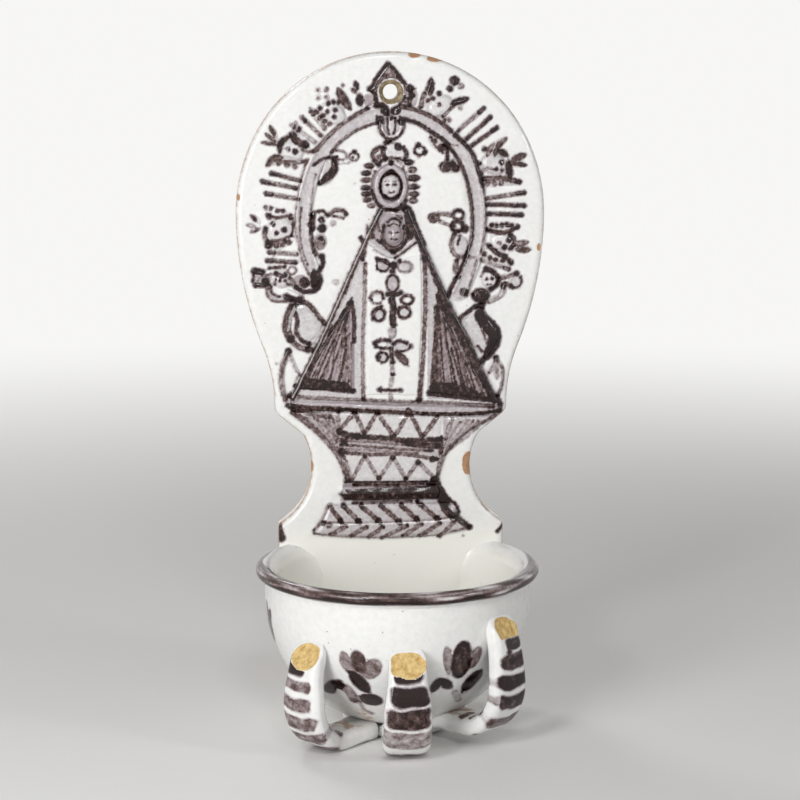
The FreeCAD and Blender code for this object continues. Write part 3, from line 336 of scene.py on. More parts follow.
rayBars = [((26, -14.6), (35.6, -6.4)), ((29, -18), (38.2, -9.8)), ((31.4, -20.4), (40.8, -13.8)),
           ((37, -41), (51.6, -38.8)), ((37, -43.2), (51.6, -43.8)), ((37.4, -46.8), (50.6, -47.4)),
           ((-25.6, -14), (-30.6, -7.4)), ((-27, -16.4), (-34, -9.8)), ((-29.4, -19), (-37, -13.4)),
           ((-35, -33.8), (-46, -30.8)), ((-36.6, -36.6), (-49.4, -34)), ((-35.6, -40.8), (-48, -38.6)),
           ((-36.4, -62), (-47, -61.2)), ((-37, -65.2), (-47.8, -64.4)), ((35.4, -65), (45.8, -68.4))]
rayTones = (0.5, 0.75, 0.75, 0.6, 0.8, 0.8, 0.35, 0.5, 0.35, 0.65, 0.62, 0.55, 0.45, 0.7, 0.38)
motifs["ray_bars"] = {
    "piece": "rayBars",
    "forms": [(0.9, 0.8, line(0, 1.7, *bar)) for bar in rayBars],
    "ink": [line(tone, 1.45, *bar) for bar, tone in zip(rayBars, rayTones)]
    + [line(min(tone + 0.3, 1), 1.5, bar[1], tuple(0.82 * b + 0.18 * a for a, b in zip(*bar)))
     for bar, tone in zip(rayBars, rayTones)],
    "wash": [],
}

motifs["cherub_heads"] = {
    "piece": "cherubHeads",
    "forms": raised(2.0, 3.4, oval(0, -22.4, -8, 6, 4.4, -35), oval(0, -37.6, -22.4, 4.6, 4.2, -20),
        oval(0, -43, -52.4, 5.8, 5.2), oval(0, 18.6, -5.2, 5.8, 4.3, 25),
        oval(0, 39.6, -27.6, 5.6, 4.4, -20), oval(0, 43, -57.4, 5.2, 4, -10)),
    "ink": dots(0.9, 0.85, (-27.3, -6), (-24, -4.2), (-22, -3.8), (-20, -3.6), (-21.4, -6.8), (-21.8, -9.3))
    + dots(0.6, 1, (-24.6, -7.4), (-26, -8.8), (-27.4, -9.6), (-25.4, -11), (-23.6, -12), (-28.6, -7.6))
    + dots(0.8, 0.85, (-39.6, -21.6), (-36.9, -22.4)) + [spot(1, 1.05, -36.9, -22.4)]
    + [
        leaf(0.95, 2.2, (-42.6, -23), (-42.4, -19.4), (-39.2, -16.8)),
        line(0.85, 2.8, (-37.8, -16.4), (-35.8, -18.8), (-33, -20)), spot(0.9, 0.85, -35.2, -13.8),
        line(0.5, 1.4, (-34, -21.6), (-31.4, -22.8), (-28.4, -21.8)),
    ] + dots(0.4, 0.85, (-36.6, -11.8), (-38.2, -12.4))
    + [
        spot(1, 1.05, -41.2, -52.4), spot(0.9, 0.8, -44.3, -53.6), spot(0.75, 1.2, -47, -47.4),
        spot(0.8, 0.9, -45.6, -50.2),
        line(0.65, 1.8, (-48.4, -52), (-48.8, -55), (-46.6, -57.6), (-41, -57)),
        line(0.6, 1, (-38.6, -46.8), (-37.8, -50), (-38.4, -54.6)),
    ] + dots(0.6, 0.9, (18.4, -4.9), (14, -3.2), (16, -2.4), (22.4, -10.8), (20.6, -11))
    + [spot(0.85, 0.9, 18.5, -0.6)] + dots(0.85, 1, (42.6, -27), (33.8, -27.4), (36.2, -22))
    + dots(0.8, 0.75, (42.8, -30), (40.6, -29.4))
    + [
        leaf(0.95, 2.4, (41.6, -22.4), (45, -24.4)),
        line(0.45, 1.2, (35, -30.4), (37.6, -29), (39.4, -29.6)),
    ] + dots(0.9, 1.1, (45.8, -57), (44, -59.8))
    + [spot(0.55, 0.9, 41.9, -58.2), line(0.8, 1.8, (46.4, -55.2), (48, -57.6), (46.6, -60.4))],
    "wash": [
        oval(0.22, -22.4, -8, 5.6, 4, -35), oval(0.18, -37.6, -22.4, 4.4, 4),
        oval(0.22, -43, -52.4, 5.4, 4.8), oval(0.22, 18.6, -5.2, 5.6, 4, 25),
        oval(0.25, 39.6, -27.6, 5.4, 4.2, -20), oval(0.16, 43, -57.4, 5, 3.6),
    ],
}

motifs["cherub_wings"] = {
    "piece": "cherubWings",
    "forms": raised(1.2, 1.4, leaf(0, 3.6, (-20.4, 1.4), (-18, -2.6), (-15.6, -6.6)),
        leaf(0, 3.2, (-30.4, -6.4), (-27, -11.6)), leaf(0, 3.8, (-38.2, -15), (-35.4, -18), (-32, -20.4)),
        leaf(0, 3.4, (-47.4, -27.4), (-42, -25.4), (-34, -26.6)),
        leaf(0, 3.6, (-48.6, -44), (-44, -46), (-38.6, -47.4)),
        leaf(0, 3.6, (-48.4, -58.8), (-43, -58.4), (-37.6, -55.6)),
        leaf(0, 3.2, (15.6, 4.6), (14.4, -1), (11.6, -6)), leaf(0, 3, (19.8, -9.4), (23.4, -5), (29.4, -3)),
        leaf(0, 3.6, (37, -25.2), (40, -21), (44.6, -17.8)),
        leaf(0, 3.6, (35.6, -33.4), (42, -34), (49.4, -34.8)),
        leaf(0, 4, (37.4, -52.6), (43, -52.6), (49.4, -51.8)),
        leaf(0, 4, (36.8, -59.6), (41, -63), (47, -66))),
    "ink": [
        leaf(0.62, 3.2, (-20.2, 1.2), (-18.4, -2.6), (-15.6, -6.4)), spot(0.75, 1, -20, -0.6),
        leaf(0.8, 1.8, (-13.7, 4), (-12.8, 1)), leaf(0.55, 1.6, (-15.2, 1.2), (-13.4, -0.2)),
        spot(0.5, 0.7, -18.4, 2.6), oval(1, -11.9, -3, 1.5, 2.3, 8),
        line(0.35, 0.8, (-31, -6), (-28, -8.6), (-25, -13)),
        leaf(0.6, 2.4, (-47.8, -28), (-45, -25), (-41.6, -24.8)),
        line(0.55, 1.4, (-46, -25.6), (-41, -26.2), (-36, -26.6), (-32.6, -26.2)),
    ] + dots(0.55, 1.1, (-43.2, -26.8), (-40, -27.6), (-37, -28.2))
    + dots(0.6, 0.85, (-48.2, -44), (-46.4, -44.3), (-43.8, -45.2), (-41.6, -45.3))
    + [
        line(0.62, 1.2, (-47.6, -46.8), (-44, -47.8), (-40, -47.2), (-38.6, -48.4)),
        spot(0.85, 1.5, -47.4, -58.4), line(0.55, 1.1, (-48, -57), (-43, -56.4), (-38.4, -54.8)),
    ] + dots(0.6, 1.15, (-44.4, -58.4), (-42, -58), (-39.6, -57.2))
    + [
        leaf(0.7, 2.8, (15.5, 5), (15.2, 1.6), (14.8, -1)),
        line(0.55, 1.7, (13, -0.6), (12, -3), (11.4, -5.6)), spot(0.8, 1, 15.4, 3.8),
        spot(0.8, 1, 14.2, 0.8), leaf(0.9, 2.4, (23, -4.6), (26, -3.6), (29.6, -2.6)),
        line(0.55, 1.3, (20, -9.2), (22.6, -6.6), (24.6, -4.8)), spot(0.4, 0.9, 26.6, -6.2),
        leaf(0.5, 2, (37, -24.6), (38.6, -21.4), (39.8, -19.8)),
        leaf(0.6, 2.2, (39.8, -24.6), (41.4, -20.6), (44.4, -17.8)),
        leaf(0.95, 2.6, (45.4, -26.4), (45.8, -30), (46.2, -33.4)),
        line(0.65, 2, (36, -33.4), (42, -33.2), (46, -33.8), (49.6, -34.6)),
    ] + dots(0.55, 1.1, (37.4, -35.2), (40, -35.2), (42.6, -35))
    + [spot(0.8, 0.7, 48.4, -34.6), spot(0.8, 1.2, 34.4, -31.4)]
    + dots(0.8, 0.9, (39.2, -51.3), (41, -51.4), (43, -51.3), (45, -51.2), (46.6, -51.4))
    + [
        line(0.78, 1.7, (37.6, -53), (41, -54), (45, -54), (49.2, -52)), spot(0.8, 1, 37.4, -53),
        line(0.85, 1.8, (38, -59.4), (41, -62), (44.4, -63.6)),
        line(0.7, 1.8, (43.6, -63.4), (46.6, -65.6)),
    ] + dots(0.75, 0.9, (36.2, -62.6), (38.4, -64), (40.6, -64.8), (43.4, -65), (46.8, -66)),
    "wash": [
        leaf(0.3, 3.4, (-47.4, -27.4), (-42, -25.4), (-34, -26.6)),
        leaf(0.25, 3.4, (35.6, -33.4), (42, -34), (49.4, -34.8)),
    ],
}

motifs["outer_blossoms"] = {
    "piece": "outerBlossoms",
    "forms": raised(0.9, 0.8, *[spot(0, 1.2, *place)
         for place in ((-28, 0.8), (-25, 0.8), (-28, -2), (-24.8, -2), (24.4, 4), (26.8, 2), (22.6, 1.2))],
        leaf(0, 2.2, (-46.4, -12.8), (-43.8, -18)), leaf(0, 2, (-48.2, -15.8), (-43.6, -19.2)),
        leaf(0, 2, (-49.6, -19), (-43, -19.8)), leaf(0, 2, (-53.8, -46.8), (-50.6, -49.8)),
        leaf(0, 2, (-55.8, -50.4), (-50.8, -51)), leaf(0, 2, (-54.2, -53.4), (-50.4, -51.6)),
        leaf(0, 3, (46, -26.8), (52, -24)), leaf(0, 2.2, (46.6, -27.6), (52.6, -28.2)),
        leaf(0, 2.4, (47.2, -59), (53.4, -58)), leaf(0, 2.8, (48.8, -60.8), (54, -61))),
    "ink": dots(0.38, 0.8, (-28, 0.8), (-25, 0.8), (-28, -2.1), (-24.8, -2)) + [spot(0.6, 0.6, -24.6, 1.4)]
    + [
        leaf(0.62, 1.7, (-46.4, -12.8), (-44.4, -17)), leaf(0.6, 1.6, (-48, -15.8), (-44, -19)),
        leaf(0.6, 1.4, (-49.6, -19), (-43, -19.9)), leaf(0.6, 1.5, (-54, -46.8), (-51.6, -49.4)),
        leaf(0.35, 1.5, (-55.8, -50.4), (-52, -51.4)), leaf(0.5, 1.6, (-54.2, -53.4), (-51, -52)),
        spot(0.85, 1.8, 24.4, 4.2), spot(0.4, 1.2, 26.8, 2.2), spot(0.9, 1.1, 22.6, 1.2),
        leaf(0.6, 2.6, (46.6, -26.4), (52, -24)), leaf(0.62, 1.8, (46.4, -27.4), (52.4, -28.2)),
        leaf(0.5, 2.2, (47.2, -59), (53.2, -58)), leaf(0.6, 2.6, (48.6, -60.6), (54, -61)),
    ],
    "wash": [],
}

motifs["inner_sprigs"] = {
    "piece": "innerSprigs",
    "forms": raised(1.2, 1.4, leaf(0, 6, (-24.4, -25), (-24, -30), (-27, -35.2)),
        leaf(0, 3.6, (-21.4, -22.4), (-18, -24.6), (-16.6, -27)), oval(0, -14.3, -24.6, 2.2, 2),
        leaf(0, 3.8, (14.6, -17.4), (18, -20.6), (21.6, -23)), oval(0, 11, -22.4, 2.5, 2.1),
        oval(0, 22.6, -28.4, 4, 2.9, 20), line(0, 3, (-29.4, -46.6), (-27.6, -50), (-27, -53)),
        leaf(0, 3.4, (-24.4, -47), (-21, -45.6), (-17.2, -46.6)), oval(0, -27.4, -57, 2.6, 3.4),
        oval(0, 26.4, -59.4, 3.6, 4.4), line(0, 2, (25, -64.6), (25, -70.4)),
        oval(0, 16.6, -48.3, 2.5, 2.3), line(0, 4, (18, -48.4), (24, -49.6)), oval(0, 25.8, -49.6, 3, 4.4)),
    "ink": [
        leaf(0.88, 3, (-22, -25), (-22.2, -30), (-27.8, -35)),
        line(0.9, 1.2, (-29.6, -27.6), (-26, -25.2), (-21, -24.8)),
        line(0.45, 0.9, (-21, -22.2), (-18, -22.8), (-17.4, -25.4), (-20.4, -25.6)),
        ring(0.5, 0.8, -14.3, -24.6, 1.7, 1.5), spot(0.95, 0.8, -14, -22.8), spot(0.55, 0.6, -14.8, -24.8),
        line(0.25, 0.8, (-20, -27.4), (-15.6, -26.8)), ring(0.62, 0.9, 11, -22.4, 2, 1.7),
        spot(0.95, 1, 10.4, -20.4), spot(0.95, 1, 13, -23), spot(0.5, 0.8, 10.6, -24.4),
        line(0.6, 1, (15.4, -17.4), (16.6, -20), (19.8, -23)), spot(0.75, 1.5, 19.3, -21.4),
        spot(0.6, 1.1, 16.8, -19), line(0.85, 1.4, (20.4, -20.4), (21.8, -23.6), (21.6, -26)),
        oval(0.75, 21, -28.6, 2.4, 2), spot(1, 1.4, 23.6, -27.6), spot(0.75, 1.6, 25, -29.2),
        line(0.9, 1, (-29.6, -46), (-26.4, -45.4), (-24.6, -47.2)),
        line(0.85, 2.4, (-30.4, -47), (-30.6, -52)), spot(0.85, 1.2, -26.8, -48.8),
        spot(1, 1.6, -26.7, -52), spot(0.8, 1, -31.6, -50.6),
        line(0.7, 1.4, (-24, -46.8), (-21.4, -45.2), (-18.4, -45.4), (-17.4, -46.8)),
        line(0.6, 0.9, (-22, -47.4), (-18.4, -48.2)), spot(0.25, 1.3, -22.4, -50),
        oval(0.45, -27.5, -57.4, 2.1, 2.8), spot(0.85, 1, -27.2, -56),
        line(0.62, 1.5, (-31, -53.6), (-30.4, -58), (-29, -62)), spot(0.9, 1.5, 28.6, -52.6),
        oval(0.6, 16.5, -48.3, 2.2, 2), line(0.5, 1.6, (18, -47), (20.6, -46.8), (23.4, -47.4)),
        line(0.45, 1.4, (19, -49.6), (21.6, -50.8), (24.4, -51.4)), ring(0.8, 1.2, 26, -47.2, 2, 1.8),
        ring(0.85, 1.5, 25.6, -51.6, 2.2, 2),
        line(0.55, 1.7, (24.6, -54.6), (23.4, -58), (24, -61.4), (26.6, -63.6), (29.6, -63)),
        line(0.8, 0.9, (26.6, -55.4), (25.8, -58.4)),
        line(0.6, 1.7, (25.4, -65), (25, -68.6), (26.2, -71.2)), oval(0.25, -21.4, -73, 1.5, 1.1),
    ],
    "wash": [
        leaf(0.34, 5, (-25.6, -26), (-25.4, -30), (-27.4, -34)), oval(0.35, -27.4, -57, 2.4, 3.2),
        oval(0.3, 26.8, -59.4, 3.2, 4), oval(0.4, 22.6, -28.4, 3.6, 2.4),
        leaf(0.25, 3.4, (14.6, -17.4), (18, -20.6), (21.6, -23)),
    ],
}

motifs["rostrillo"] = {
    "piece": "rostrillo",
    "forms": raised(1.7, 1.3, ring(0, 2.3, -0.2, -36, 5.4, 7.4)),
    "ink": [
        line(0.5, 1.1, (-6.2, -30.4), (-7.2, -34), (-7.2, -38)),
        line(0.92, 1.3, (-7.3, -38), (-6, -41.6), (-4.2, -43.8), (-2, -44.9), (2, -45)),
        line(0.4, 1, (4.4, -29), (6.2, -32.4), (6.6, -37), (5.8, -41)),
        line(0.85, 1.4, (5.8, -41.6), (4.6, -43.4), (2.6, -44.8)),
    ],
    "wash": [ring(0.42, 3, -0.2, -36, 5.4, 7.4)],
}

motifs["madonna_face"] = {
    "piece": "calmFace",
    "forms": raised(2.2, 2.6, oval(0, -0.1, -35.8, 4, 5.1))
    + raised(2.7, 0.7, line(0, 0.9, (-0.1, -33.8), (-0.1, -36.6)))
    + raised(2.5, 0.5, line(0, 0.7, (-0.9, -38.2), (0.7, -38.2))),
    "ink": [
        ring(0.85, 1.1, -0.1, -36, 4.2, 5.2), line(0.85, 1.5, (-2.6, -39.9), (0, -41), (2.6, -39.9)),
        leaf(1, 2, (-1.9, -31.6), (0, -30.4), (1.8, -31.6)), leaf(0.9, 0.85, (-2.2, -35.3), (-0.8, -35.3)),
        leaf(0.9, 0.85, (0.6, -35.3), (2, -35.3)), line(0.5, 0.4, (-2.3, -34.1), (-0.7, -33.9)),
        line(0.5, 0.4, (0.5, -33.9), (2.1, -34.1)), line(0.75, 0.6, (-1.1, -38), (-0.1, -38.3), (0.9, -38)),
    ],
    "wash": [oval(0.3, -0.1, -36, 3.6, 4.6)],
}

pearlPlaces = ((8.2, -29.8, 1.7, 1.3), (8.8, -32.9, 2.2, 1.4), (8.7, -36.3, 2.2, 1.1),
    (8.9, -39.1, 1.8, 1.2), (8.5, -41.6, 1.7, 1.2), (6.9, -26.9, 1.7, 1.1), (-8.4, -28.2, 1.8, 1.1),
    (-9.5, -31, 1.7, 1), (-9.6, -33.6, 2, 1.1), (-9.8, -36.6, 1.8, 1.1), (-9.6, -39, 1.8, 1.1),
    (-9.2, -41.2, 1.5, 1.1), (-7.6, -43.5, 1.4, 1))
pearlTones = (0.6, 0.75, 0.65, 0.65, 0.6, 1, 0.7, 1, 0.55, 0.75, 0.7, 0.7, 0.5)
motifs["rostrillo_pearls"] = {
    "piece": "rostrilloPearls",
    "forms": [(1, 1, oval(0, *place)) for place in pearlPlaces],
    "ink": [oval(tone, *place) for place, tone in zip(pearlPlaces, pearlTones)]
    + dots(0.95, 0.65, (9.7, -32.9), (9.4, -36.4), (-10.2, -36.6), (-9.2, -39.2), (-7.6, -28.6)),
    "wash": [],
}

motifs["crown"] = {
    "piece": "crown",
    "forms": raised(1.7, 1.4, oval(0, -4.6, -24, 2.8, 3.5, -18), oval(0, 0.4, -22.6, 3.2, 3.9),
        oval(0, 4.2, -23.6, 2.5, 3.3, 15)),
    "ink": [
        line(0.8, 1.6, (-4.6, -28), (-6.6, -25.6), (-6.8, -23), (-4.6, -21.2), (-2.8, -21.6)),
        line(0.85, 1.8, (-3, -21.4), (-3, -24), (-2.2, -25.6)),
        leaf(0.95, 1.6, (-2.8, -19.2), (0.2, -18.8)), leaf(0.9, 2.6, (1.6, -20), (3.8, -21.8)),
        line(0.6, 0.7, (-2.2, -20), (0.6, -19.4), (2.4, -20)),
        line(0.8, 1.5, (4.6, -21.4), (6, -23.4), (5, -25.8)),
        line(0.75, 1.1, (-4.2, -26.4), (-1, -25.2), (2, -25.2), (5.4, -26.2)), spot(0.9, 1.1, 0, -27),
        line(0.4, 0.9, (2.6, -26.4), (4.8, -28.4)), spot(0.5, 1.1, -4.8, -24.6),
    ],
    "wash": [oval(0.25, 0, -23.4, 6.4, 4.2)],
}

motifs["mantle"] = {
    "piece": "mantle",
    "forms": raised(1.9, 1.6, patch(0, *leftSide, (-39.8, -118.6), (42, -121.6), *reversed(rightSide)))
    + raised(2.5, 1.5, line(0, 3.2, *[(x + 1.5, z) for x, z in leftSide]))
    + raised(2.5, 1.2, line(0, 2.4, *[(x - 1.1, z) for x, z in rightSide])),
    "ink": [
        line(0.78, 1.9, *[(x + 1.0, z) for x, z in leftSide]),
        line(0.95, 2.1, *[(x - 1, z) for x, z in rightSide]),
        leaf(1, 3.4, (4, -43), (6.6, -46), (8.6, -50)), line(0.85, 2.2, (7, -46), (10, -53), (12.4, -58.6)),
        line(0.75, 2.4, (11.6, -58), (12.4, -61), (13, -64)),
        line(0.45, 1.5, (-10.2, -66), (-10.5, -80), (-11.2, -98), (-11, -119)),
        line(0.62, 1.7, (12.8, -62), (13.2, -74), (13.1, -86), (12.2, -104), (10.9, -119.6)),
        spot(0.9, 1, -10.8, -119), spot(0.95, 1.2, 10.8, -119.2),
        line(0.55, 1, (-5, -46), (-5.4, -50), (-8, -55)),
        line(0.7, 1.5, (-11.6, -56), (-10.4, -60), (-11.2, -64)),
        line(0.5, 1, (-12.6, -62), (-14.8, -69), (-18, -77)),
        line(0.45, 1.8, (-40, -117.4), (-20, -118.6), (0, -120), (20, -120.7), (40, -122.2)),
        spot(0.85, 1.4, -38.6, -117.2), line(0.6, 1.1, (-23, -90), (-28, -101), (-34, -112)),
    ],
    "wash": [
        patch(0.3, (-5, -46), (-10.4, -57), (-10.6, -119), (-39, -118), (-20, -79)),
        patch(0.34, (7, -46), (10, -56), (14, -62), (14, -119), (40, -120), (20, -76)),
        patch(0.35, (-5, -45.4), (6.6, -45.4), (9.6, -55), (0.6, -62), (-9, -55.6)),
        line(0.34, 2, (-40, -120.4), (0, -122), (42, -123.4)),
    ],
}

motifs["collar"] = {
    "piece": "collar",
    "forms": raised(2.8, 1, line(0, 2.2, (-8.6, -57.2), (0.5, -62.6), (9.4, -56.4))),
    "ink": [
        line(0.8, 0.9, (-5.4, -56.8), (-1.8, -59.8), (0.6, -61.6)),
        line(0.7, 1, (1.4, -63.6), (5, -61), (9.6, -57.6)),
        line(0.85, 1.3, (-5.6, -63.8), (-3, -64.8), (-0.6, -66)),
        line(0.3, 0.8, (-6.6, -60.6), (-3, -62.4)),
    ],
    "wash": [line(0.3, 2.2, (-8.6, -57.4), (0.5, -63), (9.6, -56.6))],
}

motifs["dress_panel"] = {
    "piece": "dressPanel",
    "forms": raised(2.5, 1, patch(0, (-9.4, -66), (-5, -64.4), (0, -66), (6, -63.4), (11.4, -62),
            (11.9, -74), (11.8, -90), (10.4, -117.6), (-9.8, -117), (-9.6, -96))),
    "ink": [],
    "wash": [],
}


def foldLines(apex, foot, count, seed):    # brushed folds that fan out of an apex to the foot of a panel
    maker = np.random.default_rng(seed)
    folds = []
    for step in range(count):
        share = (step + maker.uniform(0.15, 0.85)) / count
        end = (foot[0][0] + (foot[1][0] - foot[0][0]) * share, foot[0][1] + (foot[1][1] - foot[0][1]) * share)
        start = maker.uniform(0.0, 0.55) if step % 3 else 0.05
        spots = []
        for t in np.linspace(start, maker.uniform(0.9, 1.0), 5):
            x = apex[0] + (end[0] - apex[0]) * t + maker.normal(0, 0.35)
            spots.append((x, apex[1] + (end[1] - apex[1]) * t))
        folds.append(line(maker.uniform(0.36, 0.9), maker.uniform(0.5, 1.2), *spots))
    return folds


motifs["left_mantle_panel"] = {
    "piece": "leftMantlePanel",
    "forms": raised(2.3, 0.8,
        patch(0, (-15.4, -80.6), (-14.6, -86), (-14.4, -115.6), (-37, -114.6), (-26, -96))),
    "ink": foldLines((-15.6, -79), ((-36.6, -114.4), (-15, -115)), 17, 3)
    + [
        line(0.8, 1.6, (-15.6, -80.4), (-14.6, -86), (-14.6, -96)),
        line(0.95, 2, (-37, -113.4), (-28, -114), (-15, -115.4)),
        line(0.85, 1.6, (-18, -84), (-27, -99), (-36, -113)),
        patch(0.85, (-34, -110), (-24, -111), (-17, -112), (-15, -115.6), (-36.6, -114.4)),
    ],
    "wash": [patch(0.55, (-15.4, -80), (-14.2, -86), (-14.4, -115.4), (-37, -114.4), (-26, -97))],
}

motifs["right_mantle_panel"] = {
    "piece": "rightMantlePanel",
    "forms": raised(2.3, 0.8, patch(0, (17, -82), (16, -88), (15, -116.6), (39, -119.4), (29, -101))),
    "ink": foldLines((18.4, -76), ((15.6, -117), (38.6, -119.6)), 21, 8)
    + [
        line(0.8, 2, (17.6, -83), (17.4, -94), (15.8, -116)),
        line(0.8, 1.6, (20.4, -83), (30, -101), (38.4, -118)),
        line(0.95, 2.2, (15, -116.6), (26, -118), (39, -119.4)),
        patch(0.85, (16, -112), (24, -112.6), (33, -115.6), (38.6, -119.6), (15, -117)),
    ] + foldLines((17, -72), ((30, -105), (38, -118)), 6, 12),
    "wash": [patch(0.6, (16.6, -82), (15.2, -116.4), (39, -119), (20, -80))],
}

motifs["child_head"] = {
    "piece": "childHead",
    "forms": raised(4.1, 3, oval(0, 0.8, -54.4, 3.9, 4.9))
    + raised(4.5, 0.6, line(0, 0.8, (0.8, -53), (0.8, -55)))
    + raised(3.2, 1.4,
        line(0, 2.2, (-3.6, -52), (-3.8, -56), (-1, -59.6), (2.6, -59.8), (5.4, -56), (5.4, -52))),
    "ink": [
        line(0.72, 1.4, (-2.9, -51), (-3.7, -55), (-2, -58.4), (1.4, -59.6), (4.4, -57.6), (5.2, -54),
            (4.8, -51.4)), leaf(0.9, 0.9, (-1.2, -53.6), (0.2, -53.6)),
        leaf(0.9, 0.9, (1.5, -53.6), (2.9, -53.6)),
        line(0.75, 0.6, (-0.1, -56.1), (0.9, -56.4), (1.9, -56.1)),
        line(0.75, 1.6, (-3.8, -56.8), (-1, -60), (1, -61.4)),
        line(0.85, 1.8, (0.4, -61), (3, -60), (5.2, -56.8)),
        patch(0.78, (4.8, -46.4), (7.8, -48), (9.6, -53.6), (8, -56.4), (5.6, -57), (5.6, -52)),
        line(0.6, 1.6, (1.4, -45.6), (3.8, -48)), line(0.5, 1, (-4.8, -46.6), (-5.2, -50), (-4.6, -53)),
        patch(0.6, (-9.4, -51), (-7, -53), (-6, -56), (-8.4, -56.4), (-9.8, -54.6)),
    ],
    "wash": [
        oval(0.3, 0.8, -54.8, 3.7, 4.6), patch(0.5, (-5, -46), (5, -46), (8, -56), (1, -62), (-8, -56)),
    ],
}

motifs["child_crown"] = {
    "piece": "childCrown",
    "forms": raised(3.9, 0.9, patch(0, (-1.9, -48.9), (-0.4, -48.4), (0.8, -48), (2.2, -48.4), (3.6, -49),
            (3, -51.6), (-1.2, -51.6))),
    "ink": [
        line(0.9, 0.8, (-1.6, -49.6), (-0.2, -48.4), (1.8, -48.4), (3.4, -49.8)),
        line(0.8, 0.7, (-1.2, -51), (0.8, -50.2), (3, -51)), line(0.5, 0.5, (0.8, -48.6), (0.8, -50.4)),
    ],
    "wash": [],
}

motifs["dress_bow"] = {
    "piece": "dressBow",
    "forms": raised(3.5, 1.4, oval(0, -3.2, -66.3, 2.9, 2.5), oval(0, 5, -67, 3.2, 2.4)),
    "ink": [
        ring(0.75, 0.8, -3.2, -66.4, 2.5, 2.3), line(0.35, 0.9, (-5.6, -65), (-5.6, -68)),
        ring(0.4, 0.8, 5.2, -67, 2.9, 2.1), spot(1, 1.4, 0.8, -66.4), spot(0.9, 1.1, 0.4, -68.6),
        spot(0.8, 0.8, 3.2, -64.8),
    ],
    "wash": [oval(0.42, -3.2, -66.4, 2.6, 2.3), oval(0.36, 5.2, -67, 2.9, 2.1)],
}

motifs["dress_flowers"] = {
    "piece": "dressFlowers",
    "forms": raised(3.4, 1.3, oval(0, 0.4, -73.4, 2.6, 3.7), oval(0, -5.4, -79.2, 3, 2.2, 20),
        oval(0, 6, -79.8, 2.7, 2.1, -15), oval(0, -5, -85.6, 2.9, 2.9), oval(0, 4.8, -84.6, 2.9, 2.7),
        line(0, 2, (0.3, -79), (0.4, -88)), oval(0, 0.3, -92, 2, 3.5), oval(0, -3.8, -97, 3.4, 1.9),
        oval(0, 4.4, -98, 3.8, 2.1), oval(0, -3.4, -102.2, 2.6, 2.5),
        leaf(0, 3.4, (1.6, -100.4), (4.4, -103), (6.2, -105.4)), line(0, 1.6, (0, -96), (0, -104))),
    "ink": [
        ring(0.75, 0.8, 0.4, -73.4, 2.3, 3.3), line(0.95, 1.7, (-1.4, -77.6), (1, -77.8), (3.6, -77.2)),
        line(0.6, 1.2, (-8.4, -79), (-7, -77), (-4, -76.8), (-3.2, -79)),
        line(0.55, 1.1, (-7.8, -79.8), (-6.8, -81), (-4.4, -81.2)), ring(0.62, 1.2, 6, -79.8, 2.3, 1.8),
        ring(0.66, 1.3, -5, -85.4, 2.3, 2.4), line(0.8, 1.5, (-7, -87), (-6.6, -84), (-4, -82.6)),
        ring(0.62, 1.3, 4.9, -84.7, 2.3, 2.2), line(0.55, 0.8, (3, -82.6), (6, -82.6), (7.4, -84.6)),
        line(0.8, 2.4, (0, -79.6), (0.8, -82.6), (0.4, -85.8), (0.7, -89.4)), spot(0.9, 1.2, 1, -83.4),
        oval(0.3, 0.3, -92.4, 1.7, 3), line(0.8, 1.3, (-6.6, -96.6), (-4, -95.4), (-0.6, -95.8)),
        line(0.8, 1.1, (-6.2, -98), (-3, -98.8), (0, -98.6)), spot(0.9, 0.9, -6.4, -96.8),
        line(0.8, 1.2, (0.6, -97), (3, -95.8), (5.8, -96.8)),
        line(0.7, 1, (2, -99.8), (5, -99.8), (7, -98.6)), spot(0.55, 1, 7.4, -98),
        ring(0.7, 1, -3.5, -102.2, 2, 1.9), spot(0.95, 1, -5.2, -101.8),
        leaf(0.6, 3, (1.4, -100.2), (4.4, -103), (6.2, -105.4)), line(0.75, 1.6, (-0.2, -99), (0.4, -104)),
        line(0.35, 1.7, (0, -104), (0.4, -108.6), (-0.4, -114), (-0.2, -119.6)), spot(0.85, 0.9, 0.4, -109),
        line(0.85, 1.1, (-5, -115), (-1, -115.2), (3.8, -115.3)), spot(0.95, 0.9, -4.2, -115),
    ],
    "wash": [
        oval(0.42, 0.4, -73.4, 2.4, 3.4), oval(0.14, -5.4, -79.2, 2.6, 1.8),
        oval(0.34, -5, -85.4, 2.3, 2.3), oval(0.3, 4.9, -84.7, 2.3, 2.2), oval(0.3, 4.4, -98, 3.4, 1.7),
        oval(0.35, -3.5, -102.2, 2.2, 2.1),
    ],
}

motifs["hem_band"] = {
    "piece": "hemBand",
    "forms": raised(2.3, 1.4, patch(0, (-40.4, -119), (-20, -120), (0, -121.2), (20, -121.8),
            (42.6, -122.6), (42.8, -125), (20, -125.6), (0, -124.6), (-20, -123.4), (-40.6, -122.4))),
    "ink": [
        line(0.8, 2.2, (-40, -121), (-32, -122), (-20, -122.6)),
        line(0.78, 1.7, (-20, -122.6), (0, -123.9), (20, -125), (36, -124.8), (42, -123.8)),
        spot(1, 1.3, 42.4, -124), spot(0.95, 1.4, -38.8, -121),
    ],
    "wash": [line(0.4, 2.4, (-40, -120.4), (-20, -121), (0, -122), (20, -122.8), (42, -123.2))],
}

